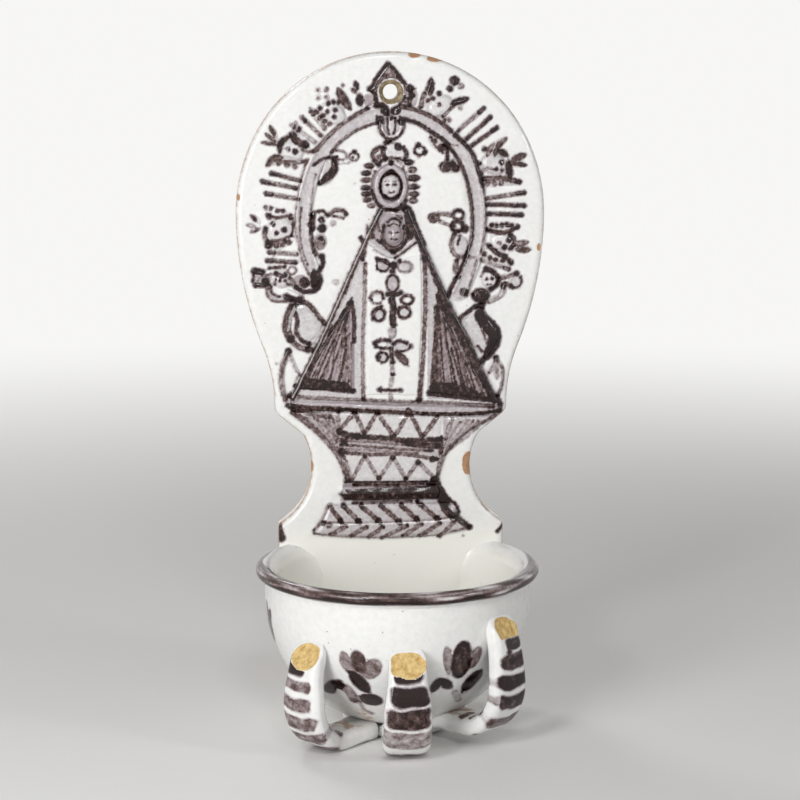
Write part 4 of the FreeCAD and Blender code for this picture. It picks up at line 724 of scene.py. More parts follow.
motifs["crescent_horns"] = {
    "piece": "crescentTips",
    "forms": raised(1.1, 0.9, line(0, 2.2, (-40, -100), (-42.4, -106), (-42.8, -113), (-41.4, -118)),
        line(0, 1.6, (-39.6, -101), (-37.6, -106), (-36.4, -109)),
        leaf(0, 3, (41, -103), (43, -108), (42.8, -114), (42, -118)),
        leaf(0, 2.4, (40.4, -104), (38.6, -109))),
    "ink": [
        spot(1, 1.2, -40, -99.8),
        line(0.55, 1.8, (-40.6, -101), (-42.6, -106.6), (-42.8, -113), (-41.2, -119)),
        line(0.38, 1.1, (-39.4, -101.4), (-37.6, -106), (-35.8, -108.8)),
        line(0.35, 0.9, (-36, -109), (-38, -113.6)), spot(0.95, 1, 41, -103.2),
        line(0.5, 1.3, (41.4, -104), (43.6, -108), (43.2, -114), (42, -118)),
        line(0.42, 1.1, (40.4, -104.4), (38.4, -109)), leaf(0.3, 1.8, (41.2, -105.6), (41.6, -111.6)),
        line(0.9, 2, (41.4, -118.4), (42.8, -121.6)),
    ],
    "wash": [oval(0.25, 41.4, -108, 1.8, 4)],
}

motifs["left_angel_head"] = {
    "piece": "leftAngelHead",
    "forms": raised(2.1, 2.6, oval(0, -42, -71.6, 3.8, 3.8)),
    "ink": [
        line(0.85, 1.7, (-44.4, -69.4), (-42.4, -70.4), (-41, -70)),
        line(0.6, 1.1, (-41.2, -72), (-40, -73.6), (-38.4, -74)),
        line(0.45, 0.9, (-44.6, -71.6), (-45, -73.6)), spot(0.8, 0.6, -43.2, -72), spot(0.8, 0.6, -41, -72),
        ring(0.42, 0.9, -38.3, -68.4, 1.5, 1.4), line(0.7, 1.2, (-47, -67.4), (-44, -67.2), (-41, -66.8)),
        line(0.95, 1.7, (-36.8, -75), (-34, -76.6), (-30, -76.2)), oval(0.75, -33.6, -73, 2, 2.2),
        line(0.55, 1.3, (-39.4, -71), (-37.4, -73), (-37, -75)),
    ],
    "wash": [oval(0.25, -42, -71.8, 3.4, 3.4), oval(0.5, -35, -73, 3.4, 3)],
}

motifs["left_angel_horn"] = {
    "piece": "leftAngelHorn",
    "forms": raised(1.3, 1.2, leaf(0, 3.6, (-45.6, -72.4), (-49, -72), (-53, -71)),
        line(0, 2.2, (-50, -69.4), (-53, -68.4)), line(0, 2.2, (-48.6, -74), (-52.6, -74))),
    "ink": [
        line(1, 2.3, (-52.8, -68.4), (-50, -69)), line(0.75, 1.2, (-53, -69.6), (-53.4, -72.4)),
        spot(1, 1.5, -48.6, -72.2), line(0.95, 1.7, (-52.4, -73.8), (-48.6, -73.8)),
        line(0.5, 1, (-50, -70.4), (-46.8, -69.8), (-44.8, -69.4)),
        line(0.4, 0.8, (-51, -71), (-51.6, -72)),
    ],
    "wash": [oval(0.4, -50, -71.4, 3.4, 2.4)],
}

motifs["left_angel_robe"] = {
    "piece": "leftAngelRobe",
    "forms": raised(1.6, 2.2, patch(0, (-38, -81), (-34, -80.8), (-30, -83.6), (-26.6, -88.4), (-27.4, -93),
            (-30.4, -97.4), (-34, -100), (-38, -97.6), (-41.4, -92.4), (-40.6, -86)))
    + raised(1.3, 1, line(0, 2.6, (-47.6, -75), (-46.6, -78.2), (-44, -79.4), (-40, -79.6)),
        line(0, 3, (-40.4, -77), (-35.4, -79.4))),
    "ink": [
        line(0.72, 3.2, (-38.4, -82.6), (-40, -86.4), (-40.6, -91), (-39, -95)),
        line(0.6, 2.4, (-39.4, -94.6), (-36.6, -97.6), (-32.4, -99.4)),
        line(0.8, 1.5, (-37.4, -84.4), (-36.4, -88), (-37, -92), (-34.8, -95.4), (-32.4, -96.6)),
        line(0.7, 1.8, (-36, -80.6), (-33, -81), (-30, -83.8), (-27, -87.8), (-25, -89.6)),
        line(0.55, 1, (-48.4, -74.8), (-47.6, -78.4), (-45, -80.2), (-40.6, -80)),
        line(0.55, 1, (-46.6, -74.6), (-46, -77.2), (-43.4, -78.4)), spot(0.8, 1.2, -47.4, -74.6),
        line(1, 2.4, (-40.6, -78.4), (-38, -79.6), (-35.2, -79.6)), spot(1, 1.4, -36.4, -80.8),
        line(0.9, 2, (-32.4, -98.6), (-30, -99.6), (-28.4, -97.6)), spot(0.85, 1, -32, -96.8),
    ],
    "wash": [
        patch(0.3, (-37, -83), (-33, -82.4), (-29, -86), (-27, -90), (-28.6, -94), (-32, -96.4), (-36, -94),
            (-37, -88)), line(0.4, 2, (-47.4, -76), (-45, -79), (-41, -79.4)),
    ],
}

motifs["right_angel_head"] = {
    "piece": "rightAngelHead",
    "forms": raised(2.1, 2.6, oval(0, 38.2, -72.2, 3.6, 3.9)),
    "ink": [
        line(1, 1.9, (37, -68.2), (39.6, -69.4), (41.6, -71.8), (41.2, -74.4), (38.8, -76.2)),
        spot(0.8, 0.6, 37, -72), spot(0.8, 0.6, 39.2, -72), line(0.6, 0.5, (37.4, -74.2), (38.8, -74.2)),
        line(0.45, 0.8, (35, -71), (36, -69.4)),
    ],
    "wash": [oval(0.22, 38, -72.4, 3.2, 3.4)],
}

motifs["right_angel_horn"] = {
    "piece": "rightAngelHorn",
    "forms": raised(1.3, 1.2, leaf(0, 3.4, (42, -72.6), (46, -71.8), (50.4, -71)),
        oval(0, 48.8, -72.8, 2.4, 2.6), line(0, 2, (44.2, -74.6), (43, -78.4), (38.6, -80.8))),
    "ink": [
        line(0.58, 1.6, (42.2, -72), (46, -71.2), (48.8, -70)), spot(0.75, 1.1, 48.9, -70.2),
        line(0.65, 1, (50.4, -71.6), (50.8, -73.6), (49.6, -75.4), (47.4, -75.8)), spot(0.8, 1, 46.6, -75),
        line(0.6, 1.6, (44.4, -74), (46.4, -75)), spot(0.8, 1.2, 43.7, -74.8),
        line(0.36, 1.9, (43.8, -76), (42.4, -79), (38, -81)),
    ],
    "wash": [oval(0.3, 48.6, -72.8, 2.2, 2.2)],
}

motifs["right_angel_robe"] = {
    "piece": "rightAngelRobe",
    "forms": raised(1.6, 2, patch(0, (33.4, -83), (36.4, -83.6), (38.4, -88), (41.4, -92), (41.6, -96),
            (39.6, -100), (37, -103.6), (33.6, -100), (29.6, -93.6), (27.8, -88.4)))
    + raised(1.7, 1.6, oval(0, 35, -78.6, 3.4, 3.4)),
    "ink": [
        leaf(1, 5.4, (34.4, -82), (35, -87), (39.8, -92.6), (40, -97.4), (36.8, -103.6)),
        line(1, 2.6, (35.4, -81.6), (34.6, -86), (37.6, -90), (39.8, -94)),
        line(1, 2, (39.8, -97), (38, -101), (35.4, -104.8)), oval(0.85, 34.8, -78.6, 3.4, 2.8),
        spot(1, 1.5, 35.6, -81.4), spot(0.9, 1.2, 32.4, -78.2),
        line(0.9, 1.4, (33.2, -82.6), (29.6, -85.4), (26.8, -87.6), (26.6, -90.4)),
        line(0.6, 1, (34, -86), (35, -91), (37, -96), (38, -100.6)),
        line(0.7, 1, (33.8, -98.4), (36, -100.8), (38.2, -101)),
    ],
    "wash": [patch(0.3, (33, -84), (28, -88), (30, -94), (34, -100.4), (37.6, -102), (37, -96), (35, -90))],
}

bowlFolds = foldLines((-18, -143), ((-37, -125), (-22.6, -125.4)), 10, 21)
bowlFolds += foldLines((20, -142), ((22, -127), (39, -127)), 10, 22)
motifs["pedestal_bowl"] = {
    "piece": "pedestalBowl",
    "forms": raised(2.2, 1.8, patch(0, (-40, -123.2), (-36, -126.4), (-30, -130.6), (-24, -136),
            (-20.4, -141), (-18.6, -146), (-17.4, -151.6), (18, -152), (19.6, -146), (21.6, -140),
            (27.4, -134), (35, -129), (43, -125.8), (20, -125.8), (0, -124.8), (-20, -123.6))),
    "ink": [
        line(0.5, 0.8, (-37.4, -123), (-31, -128.4), (-25, -134.4), (-21, -140)),
        line(0.3, 0.8, (-39, -123), (-32, -128.4), (-25.4, -136)),
        line(0.55, 1.7, (-20.4, -131), (-17.4, -127.4), (-14.4, -123.8)),
        line(0.55, 1.8, (-14.4, -123.8), (-10.6, -132.4)), line(0.55, 1.7, (-10.6, -132.4), (-5.6, -124)),
        line(0.55, 1.8, (-5.4, -124.2), (1, -133.8)), line(0.55, 1.7, (1, -133.8), (7, -123.8)),
        line(0.6, 1.8, (7, -123.8), (12, -134)), line(0.6, 1.8, (12, -134), (18.2, -125.8)),
        spot(0.9, 1.3, -14.4, -123.6), spot(0.8, 1.3, -5.6, -124), spot(0.8, 1.3, 6.6, -123.6),
        spot(0.85, 1, -10.6, -132.2), spot(0.75, 1, 1, -133.4), spot(0.75, 1, 12, -133.6),
        spot(0.8, 1.1, 18, -125.8), line(0.88, 2.6, (-20.4, -131.4), (-17.4, -132.8), (-13, -133.4)),
        line(0.8, 1.9, (-14, -133.4), (-4, -134), (6, -135.2), (19, -135)),
        line(0.88, 2.4, (6, -136), (12, -137.2), (18, -137.6)),
        line(0.6, 1.2, (-20, -136.6), (-8, -137.6), (6, -138.8), (16, -139.4)),
        line(0.62, 1.5, (-20, -139.6), (-8, -140.6), (4, -140.6), (12, -141.8), (18, -142.8)),
        spot(0.9, 1.6, -19.4, -139.4), spot(0.8, 1.4, -18.6, -135.4), spot(0.85, 1.3, 16, -142.8),
        line(0.5, 1.5, (-21, -124), (-20.4, -131)), line(0.7, 1.9, (19.6, -134.6), (19.4, -140)),
        line(0.45, 1.7, (19.4, -140), (18, -150.4)), line(0.45, 2, (-19, -141.4), (-15.6, -150.6)),
        line(0.45, 1.6, (-15.4, -150.4), (-10.6, -141.4)), line(0.45, 1.6, (-10.4, -141.4), (-5, -150.4)),
        line(0.45, 1.6, (-5, -150.4), (0.4, -142.2)), line(0.42, 1.8, (0.6, -142), (5.6, -150.6)),
        line(0.5, 1.6, (5.6, -150.6), (10.6, -143.6)), line(0.42, 1.8, (10.6, -143.8), (16.4, -150)),
        spot(0.85, 1, -5, -150), spot(0.85, 1, 5.6, -150.4), spot(0.8, 1.1, 0.4, -142),
        spot(0.8, 1.1, 10.4, -144), spot(0.8, 0.9, -10.6, -141.2),
        line(0.6, 2, (-36, -122.6), (-30, -124.6), (-24, -125.4)),
        line(0.45, 1.4, (-30, -126), (-25, -130), (-21, -134)),
        line(0.45, 1.2, (24, -127), (23, -131), (21, -135)),
        line(0.8, 1.1, (-18, -151.8), (0, -152), (14, -152)), spot(0.95, 1.8, 17, -151.4),
        line(0.55, 2.2, (-38.4, -123.8), (-32.6, -128.4), (-25.6, -135), (-21, -141), (-18.4, -146.4),
            (-17, -151)),
        line(0.5, 1.7, (41, -126), (33.6, -130), (26.6, -135), (21.2, -140.6), (19, -146), (17.8, -151)),
        line(0.5, 1.8, (-19.6, -134.6), (-6, -135.4), (6, -136.8), (19, -137)),
        line(0.4, 1.2, (-18, -138.4), (0, -139.6), (10, -140.4)),
    ]
    + [dict(fold, tone=fold["tone"] * 0.55) for fold in bowlFolds],
    "wash": [
        patch(0.4, (-39, -122.6), (-33, -128), (-24, -137), (-20, -142), (-20.4, -131), (-21.6, -124)),
        patch(0.36, (42, -125.2), (34, -130), (26, -135), (20.6, -140.6), (20, -126)),
        patch(0.38, (-20, -132), (0, -134), (20, -136), (19.4, -143), (0, -141), (-20, -140.6)),
        patch(0.24, (-21, -124), (20, -126), (18, -151), (-18, -151)),
    ],
}

motifs["pedestal_torus"] = {
    "piece": "pedestalRing",
    "forms": raised(3.2, 3,
        patch(0, (-19.4, -152.8), (18, -153), (19.4, -156), (18, -159.4), (-19, -159.2), (-20.6, -156.4))),
    "ink": [
        patch(0.86, (-18, -154.4), (-4, -153.8), (16, -153.4), (18, -156), (17, -158.6), (-6, -159),
            (-18.4, -158.8), (-20.6, -156.4)), line(0.7, 0.9, (-15, -152.8), (0, -153), (14, -152.8)),
        patch(0.95, (14, -152), (19, -153.6), (19.6, -159), (14.6, -158.6)),
        line(0.5, 1, (-15, -160), (-4, -160), (8, -159.8)),
    ],
    "wash": [patch(0.5, (-19, -152.6), (18, -152.6), (19, -159.6), (-20, -159.4))],
}

chevronTops = (((-24, -161.4), (-19.6, -167.4)), ((-18.8, -161), (-12.6, -167.6)),
               ((-12, -161), (-4.6, -167.6)), ((-4.2, -161), (3.4, -168)), ((3.8, -161), (10.4, -167.2)),
               ((11.6, -161), (18.4, -167)))
chevronFeet = (((-18, -169), (-24, -172.4)), ((-10, -169.4), (-16, -173)), ((-3.6, -169.6), (-9, -173.6)),
               ((6, -169), (-3.6, -174)), ((11.6, -168.6), (4.6, -173.4)), ((19, -168.4), (11, -173.6)),
               ((26, -166.4), (19, -174)))
motifs["pedestal_foot"] = {
    "piece": "pedestalFoot",
    "forms": raised(2.6, 2.2, patch(0, (-24.8, -160.4), (0, -159.8), (22.6, -160.4), (26.4, -165),
            (30.6, -171.4), (20, -173.4), (0, -174.4), (-20, -173.8), (-30.8, -172.4), (-27.4, -166))),
    "groove": (0.5, line(0, 0.8, (-28, -168), (-10, -167.8), (12, -167.4), (26, -166.4))),
    "ink": [line(0.62, 2, *pair) for pair in chevronTops]
    + [spot(0.92, 1.25, pair[1][0] - 0.6, pair[1][1] + 0.6) for pair in chevronTops]
    + [spot(0.8, 0.9, pair[0][0] + 0.4, pair[0][1] - 0.4) for pair in chevronTops]
    + [line(0.52, 1.9, *pair) for pair in chevronFeet]
    + [
        line(0.36, 0.9, (-29, -169.4), (-26, -167.4), (-10, -168), (12, -167.2), (26, -166)),
        line(0.42, 0.9, (-25, -161), (-27, -166), (-30.4, -171)),
        line(0.4, 1.1, (-30.4, -172), (-18, -173.4), (0, -174), (16, -173.4), (30, -170.6)),
        spot(0.75, 1.2, -26.6, -167.6), spot(0.6, 1.3, -24.6, -168.4), spot(0.85, 0.9, 10.4, -160),
        line(0.95, 4, (17, -152.6), (19.4, -157), (21.4, -160)),
        line(0.95, 3, (20, -160), (21.6, -163.4), (24.6, -166)),
        line(0.9, 1.1, (20.6, -157.6), (23, -159.4), (25.6, -161.6), (26.6, -164.4)),
        spot(1, 1.9, 24.8, -166), line(0.85, 2, (25.4, -166), (28, -168.4), (31, -170.6)),
        spot(0.95, 1.1, 30.8, -170.6), line(0.8, 0.8, (21, -158.2), (24.4, -160.8)),
    ],
    "wash": [patch(0.33, (-24.6, -160.4), (20, -160), (30.4, -171), (0, -174.4), (-30.6, -172.4))],
}

strayMarks = [
    spot(0.5, 0.5, 36, -148), spot(0.45, 0.35, 28.4, -174), line(0.9, 3, (-44.6, -169), (-43.4, -174)),
    line(0.85, 1, (44.4, -170), (42, -172.6)), spot(0.3, 0.5, -44.6, -104.6), spot(0.25, 0.6, -4, -13),
    spot(0.22, 0.7, 8, -40), spot(0.2, 0.5, -14, -35),
]
allInk = [mark for motif in motifs.values() for mark in motif["ink"]] + strayMarks
allWash = [mark for motif in motifs.values() for mark in motif["wash"]]
print("stage: painting laid out,", len(allInk), "strokes")


class Wire:    # a shader value that ordinary arithmetic can be done with
    def __init__(self, board, socket):
        self.board, self.socket = board, socket

    def sum(self, other, kind, flip=False):
        pair = (other, self) if flip else (self, other)
        return self.board.node("ShaderNodeMath", {"operation": kind}, *pair)

    def __add__(self, other):
        return self.sum(other, "ADD")

    def __radd__(self, other):
        return self.sum(other, "ADD", True)

    def __sub__(self, other):
        return self.sum(other, "SUBTRACT")

    def __rsub__(self, other):
        return self.sum(other, "SUBTRACT", True)

    def __mul__(self, other):
        return self.sum(other, "MULTIPLY")

    def __rmul__(self, other):
        return self.sum(other, "MULTIPLY", True)

    def __truediv__(self, other):
        return self.sum(other, "DIVIDE")

    def __rtruediv__(self, other):
        return self.sum(other, "DIVIDE", True)


class Board:    # one material's nodes
    def __init__(self, name):
        self.material = bpy.data.materials.new(name)
        self.material.use_nodes = True
        self.nodes, self.links = self.material.node_tree.nodes, self.material.node_tree.links
        self.nodes.clear()

    def node(self, kind, settings=None, *values, out=0, **named):
        made = self.nodes.new(kind)
        for key, value in (settings or {}).items():
            setattr(made, key, value)
        for key, value in list(enumerate(values)) + list(named.items()):
            socket = made.inputs[key if isinstance(key, int) else key.replace("_", " ")]
            if isinstance(value, Wire):
                self.links.new(value.socket, socket)
            elif value is not None:
                socket.default_value = value
        return Wire(self, made.outputs[out]) if made.outputs else None

    def attribute(self, name):
        return self.node("ShaderNodeAttribute", {"attribute_name": name}, out="Fac")

    def larger(self, first, second):
        return self.node("ShaderNodeMath", {"operation": "MAXIMUM"}, first, second)

    def ramp(self, value, low, high):    # 0 at low, 1 at high, smooth between them
        settings = {"interpolation_type": "SMOOTHSTEP"}
        return self.node("ShaderNodeMapRange", settings, value, low, high, 0.0, 1.0)

    def noise(self, place, scale, detail, rough, offset):
        shift = (offset, offset * 0.7, offset * 1.3)
        shifted = self.node("ShaderNodeVectorMath", {"operation": "ADD"}, place, shift)
        return self.node("ShaderNodeTexNoise", None, shifted, Scale=scale, Detail=detail, Roughness=rough)

    def cells(self, place, scale):    # distance to the nearest of many scattered points
        return self.node("ShaderNodeTexVoronoi", {"feature": "F1"}, place, Scale=scale, Randomness=1.0)

    def blend(self, share, first, second):
        mixed = self.nodes.new("ShaderNodeMix")
        mixed.data_type = "RGBA"
        for socket, value in zip((mixed.inputs[0], mixed.inputs[6], mixed.inputs[7]), (share, first, second)):
            if isinstance(value, Wire):
                self.links.new(value.socket, socket)
            else:
                socket.default_value = value
        return Wire(self, mixed.outputs[2])


# values that every mesh carries at its vertices for the glaze to use
paintNames = ("inkEdge", "inkTone", "washed", "rawClay", "scarred", "thinGlaze", "creamAndPaintedLight", "bareBevel",
              "calmInk")

# colours; noises as (scale per mm, detail, roughness, offset); pairs are the two ends of a ramp
glaze = {
    # inside: the cream glaze inside the bowl, set lighter than the white glaze as painted light against the
    # shade in the bowl
    "white": (0.86, 0.856, 0.84, 1), "shade": (0.80, 0.80, 0.785, 1), "inside": (0.90, 0.892, 0.84, 1),
    "lilac": (0.39, 0.336, 0.362, 1), "halo": (0.29, 0.225, 0.23, 1), "brown": (0.10, 0.058, 0.053, 1),
    "black": (0.014, 0.005, 0.004, 1), "specks": (0.20, 0.15, 0.09, 1), "thin": (0.44, 0.23, 0.10, 1),
    "bevel": (0.42, 0.34, 0.22, 1), "clay": (0.47, 0.24, 0.115, 1), "paleClay": (0.54, 0.32, 0.19, 1),
    "scar": (0.76, 0.56, 0.25, 1), "deepScar": (0.50, 0.30, 0.09, 1),
    "bleedNoise": (1.5, 4.0, 0.75, 0.0), "grainNoise": (0.9, 2.0, 0.55, 31),
    "cloudNoise": (0.45, 3.0, 0.6, 57), "grain": (0.31, 0.69), "calming": 0.8, "calmGrain": 0.45,
    "shadeAt": (0.3, 0.75), "bigSpecks": 0.16, "bigSpeckSize": (0.055, 0.03), "bigSpeckShare": 0.8,
    "smallSpecks": 0.62, "smallSpeckSize": (0.075, 0.03), "smallSpeckShare": 0.7, "speckled": (0.5, 0.62),
    "thinBleed": 0.7, "thinClouds": 1.2, "thinAt": (0.35, 0.9), "thinShare": 0.75, "wornClouds": 0.7,
    "wornGrain": 0.3, "wornAt": (0.35, 0.6), "bevelGrain": 0.4, "bareBevelAt": (0.3, 0.7),
    "paleClayAt": (0.35, 0.65), "dirtAt": (0.45, 1.0), "dirt": 0.4, "backClouds": 1.5,
    "bareFrom": (-1.2, -0.2), "bareBleed": 0.5, "bareAt": (0.4, 0.55), "scarGrain": 0.5, "scarBleed": 0.6,
    "deepScarAt": (0.82, 1.35), "scarEdgeBleed": 0.3, "scarAt": (0.4, 0.6), "gloss": 0.1, "mattClay": 0.55,
    "inkMatt": 0.04, "bevelMatt": 0.3, "insideMatt": 0.05, "ripple": 0.14,
    "swellNoise": (0.22, 2.0, 0.5, 11), "smallSwellNoise": (0.8, 2.0, 0.5, 23), "smallSwell": 0.12,
    "inkSunk": 0.012, "clayGrain": 0.35, "refraction": 1.42,
}

# the manganese painting: how its edge feathers, how thickly it lies and where it turns brown and black
manganese = {
    "feather": 1.3, "edge": (-0.62, 0.26), "load": 0.2, "grainy": 0.46, "cloudy": 0.6, "border": (0.6, 0.1),
    "borderLoad": 0.14, "edgeLoad": 0.42, "fullFrom": (-0.35, 0.45), "haloWidth": (-1.15, 0.1), "halo": 0.8,
    "wash": 1.35, "washEven": 0.5, "washClouds": 0.6, "washGrain": 0.4, "washAt": (0.0, 0.78),
    "seen": (-0.05, 0.4), "brownAt": (0.12, 0.48), "blackAt": (0.36, 0.64),
}


def tinGlaze(name, speckled=1.0):    # white tin glaze, painted in manganese under its gloss
    board = Board(name)
    ramp, blend = board.ramp, board.blend
    place = board.node("ShaderNodeVectorMath", {"operation": "SCALE"},
                       board.node("ShaderNodeTexCoord", out="Object"), Scale=1 / mm)
    edge, tone, wash, raw, scar, thin, inside, bevel, calm = (board.attribute(key) for key in paintNames)
    bleed, clouds = board.noise(place, *glaze["bleedNoise"]), board.noise(place, *glaze["cloudNoise"])
    grain = ramp(board.noise(place, *glaze["grainNoise"]), *glaze["grain"])
    grain = grain + (glaze["calmGrain"] - grain) * (calm * glaze["calming"])    # broad strokes lie smoother

    paint = manganese
    feather = edge + (bleed - 0.5) * paint["feather"]
    load = paint["load"] + grain * paint["grainy"] + clouds * paint["cloudy"]
    load = load + ramp(edge, *paint["border"]) * paint["borderLoad"]
    density = tone * load * (paint["edgeLoad"] + ramp(feather, *paint["fullFrom"]) * (1 - paint["edgeLoad"]))
    strength = ramp(density, *paint["seen"]) * ramp(feather, *paint["edge"])
    halo = ramp(edge, *paint["haloWidth"]) * tone * paint["halo"]
    uneven = paint["washEven"] + clouds * paint["washClouds"] + grain * paint["washGrain"]
    colour = blend(ramp(clouds, *glaze["shadeAt"]), glaze["white"], glaze["shade"])
    # the cream inside the bowl is real; its lightness above the white glaze is painted light
    colour = blend(inside, colour, glaze["inside"])
    cover = ramp(board.larger(wash * paint["wash"], halo) * uneven, *paint["washAt"])
    colour = blend(cover, colour, glaze["lilac"])
    ink = blend(ramp(density, *paint["brownAt"]), glaze["halo"], glaze["brown"])
    ink = blend(ramp(density, *paint["blackAt"]), ink, glaze["black"])
    colour = blend(strength, colour, ink)

    flecks = ramp(board.cells(place, glaze["bigSpecks"]), *glaze["bigSpeckSize"])
    dust = ramp(board.cells(place, glaze["smallSpecks"]), *glaze["smallSpeckSize"])
    dust = dust * ramp(clouds, *glaze["speckled"]) * glaze["smallSpeckShare"]
    flecks = flecks * glaze["bigSpeckShare"] + dust
    colour = blend(flecks * speckled, colour, glaze["specks"])
    thinned = thin + (bleed - 0.5) * glaze["thinBleed"] + (clouds - 0.5) * glaze["thinClouds"]
    thinned = ramp(thinned, *glaze["thinAt"])
    colour = blend(thinned * glaze["thinShare"], colour, glaze["thin"])
    worn = ramp(clouds * glaze["wornClouds"] + grain * glaze["wornGrain"], *glaze["wornAt"])
    worn = blend(worn, glaze["bevel"], glaze["specks"])
    colour = blend(ramp(bevel + (grain - 0.5) * glaze["bevelGrain"], *glaze["bareBevelAt"]), colour, worn)

    clay = blend(ramp(clouds, *glaze["paleClayAt"]), glaze["clay"], glaze["paleClay"])
    clay = blend(ramp(grain, *glaze["dirtAt"]) * glaze["dirt"], clay, glaze["specks"])
    depth = board.node("ShaderNodeSeparateXYZ", None, place, out="Y")
    back = ramp(depth + (clouds - 0.5) * glaze["backClouds"], *glaze["bareFrom"])    # the back is unglazed
    bare = ramp(board.larger(raw, back) + (bleed - 0.5) * glaze["bareBleed"], *glaze["bareAt"])
    colour = blend(bare, colour, clay)
    broken = grain * glaze["scarGrain"] + clouds + bleed * glaze["scarBleed"]
    broken = blend(ramp(broken, *glaze["deepScarAt"]), glaze["scar"], glaze["deepScar"])
    torn = ramp(scar + (bleed - 0.5) * glaze["scarEdgeBleed"], *glaze["scarAt"])
    colour = blend(torn, colour, broken)

    matt = board.larger(bare, torn)
    rough = glaze["gloss"] + matt * glaze["mattClay"] + strength * glaze["inkMatt"]
    rough = rough + bevel * glaze["bevelMatt"] + inside * glaze["insideMatt"]
    height = board.noise(place, *glaze["swellNoise"])
    height = height + board.noise(place, *glaze["smallSwellNoise"]) * glaze["smallSwell"]
    height = height - strength * glaze["inkSunk"] + matt * grain * glaze["clayGrain"]
    bump = board.node("ShaderNodeBump", None, Strength=glaze["ripple"], Distance=mm, Height=height,
                      out="Normal")
    shader = board.node("ShaderNodeBsdfPrincipled", None, Base_Color=colour, Roughness=rough,
                        IOR=glaze["refraction"], Normal=bump)
    board.node("ShaderNodeOutputMaterial", None, shader)
    return board.material


finish = {"white_glaze": tinGlaze("whiteTinGlaze"), "striped_glaze": tinGlaze("stripedTinGlaze", 0.7),
          "painted_relief": tinGlaze("paintedTinGlaze", 0.6)}
print("stage: glazes mixed")


def makePiece(name, nodes, slot, mesh, paint):    # one finished piece of the visual model
    for key in paintNames:
        values = paint.get(key, unpainted if key == "inkEdge" else 0.0)
        values = np.broadcast_to(np.asarray(values, np.float32), (len(mesh.vertices),))
        layer = mesh.attributes.get(key) or mesh.attributes.new(key, "FLOAT", "POINT")
        layer.data.foreach_set("value", np.ascontiguousarray(values))
    mesh.materials.clear()
    mesh.materials.append(finish[slot])
    mesh.shade_smooth()
    piece = bpy.data.objects.new(name, mesh)
    bpy.context.collection.objects.link(piece)
    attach(piece, "root")
    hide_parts(*nodes)
    return piece


def spotsOf(mesh):    # vertex places in mm
    spots = np.empty(len(mesh.vertices) * 3)
    mesh.vertices.foreach_get("co", spots)
    return spots.reshape(-1, 3) / mm


def moveSpots(mesh, x, y, z):    # put the vertices at new places in mm
    mesh.vertices.foreach_set("co", (np.stack([x, y, z], 1) * mm).ravel())
    mesh.update()


def facesOut(mesh):
    work = bmesh.new()
    work.from_mesh(mesh)
    bmesh.ops.recalc_face_normals(work, faces=work.faces)
    work.to_mesh(mesh)
    work.free()


def gridCells(shape):    # the four corner numbers of every cell in a grid of places
    ids = np.arange(shape[0] * shape[1]).reshape(shape)
    return np.stack([ids[:-1, :-1], ids[1:, :-1], ids[1:, 1:], ids[:-1, 1:]], -1).reshape(-1, 4)


def usedOnly(count, cells):    # the places that cells use, and the cells with those places numbered anew
    used = np.unique(cells)
    fresh = np.full(count, -1)
    fresh[used] = np.arange(len(used))
    return used, fresh[cells]


# the slab: sizes in mm; rows of its side wall are depths, rows of its bore are (radius, depth);
# chips are (x, z, half width, half height)
slab = {
    "front": 9.0, "edgeRound": 2.4, "holeRadius": 3.0, "bevel": 2.0, "pitch": 0.56, "flatRim": 6,
    "wave": 0.16, "waveSize": 46, "smallWave": 0.05, "smallWaveSize": 11,
    "sideRows": (-5.2, -3.4, -1.7, -0.5, 0),
    "boreRows": ((4.4, -8.5), (3.7, -7.75), (3.12, -7.1), (3.0, -6.9), (3.0, -3.4), (3.0, 0)),
    "chips": ((30.2, -145, 2.2, 4.6), (17, 12.6, 3.4, 1.2), (9, 14, 2.4, 1), (-31.4, -145.6, 1, 2.4),
              (57.6, -60, 0.8, 1.6), (-58.8, -40, 0.6, 1.4)),
    "chipDepth": 1.1, "chipReach": 1.1, "chipBack": -0.6, "chipStain": 1.5, "backFrom": -0.3,
    "wallFrom": -6, "paintTo": -6.5,
    "worn": 1.2, "edgeWear": 0.8, "footWear": 0.15, "footWearAt": (-165, -125), "wallWear": 0.36,
    "wallPatches": 0.3, "wallPatchSize": 21, "wallBottom": 0.5, "wallBottomFrom": -3.4,
    "wallBottomOver": 2.4, "chipStainFrom": -3, "chipStainLess": 0.5, "bevelRing": 5.3, "bevelFace": -8.95,
    "creamFrom": -167, "creamOver": 9, "calmInk": 0.4,
}


def waves(x, z):    # how far the slab's face dips behind a true plane
    broad, small = ripple(x, z, slab["waveSize"], 2), ripple(x, z, slab["smallWaveSize"], 4)
    return slab["wave"] * (0.5 + 0.5 * broad) + slab["smallWave"] * (0.5 + 0.5 * small)


def slabOutline():    # the slab's outer edge, taken from the fixed part's back face
    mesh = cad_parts["back_plate"].data
    work = bmesh.new()
    work.from_mesh(mesh)
    bmesh.ops.remove_doubles(work, verts=work.verts, dist=1e-7)
    flat = {face for face in work.faces if all(abs(vert.co.y) < 2e-6 for vert in face.verts)}
    borders = {}
    for face in flat:
        for edge in face.edges:
            if sum(other in flat for other in edge.link_faces) == 1:
                a, b = edge.verts
                borders.setdefault(a, []).append(b)
                borders.setdefault(b, []).append(a)
    loops = []
    while borders:
        start = next(iter(borders))
        loop, here = [], start
        while here in borders:
            loop.append((here.co.x / mm, here.co.z / mm))
            ahead = [v for v in borders.pop(here) if v in borders]
            here = ahead[0] if ahead else None
        loops.append(np.array(loop))
    work.free()
    return max(loops, key=lambda loop: np.ptp(loop[:, 0]))


outline = slabOutline()
closedOutline = np.vstack([outline, outline[:1]])
print("stage: outline of", len(outline), "places")


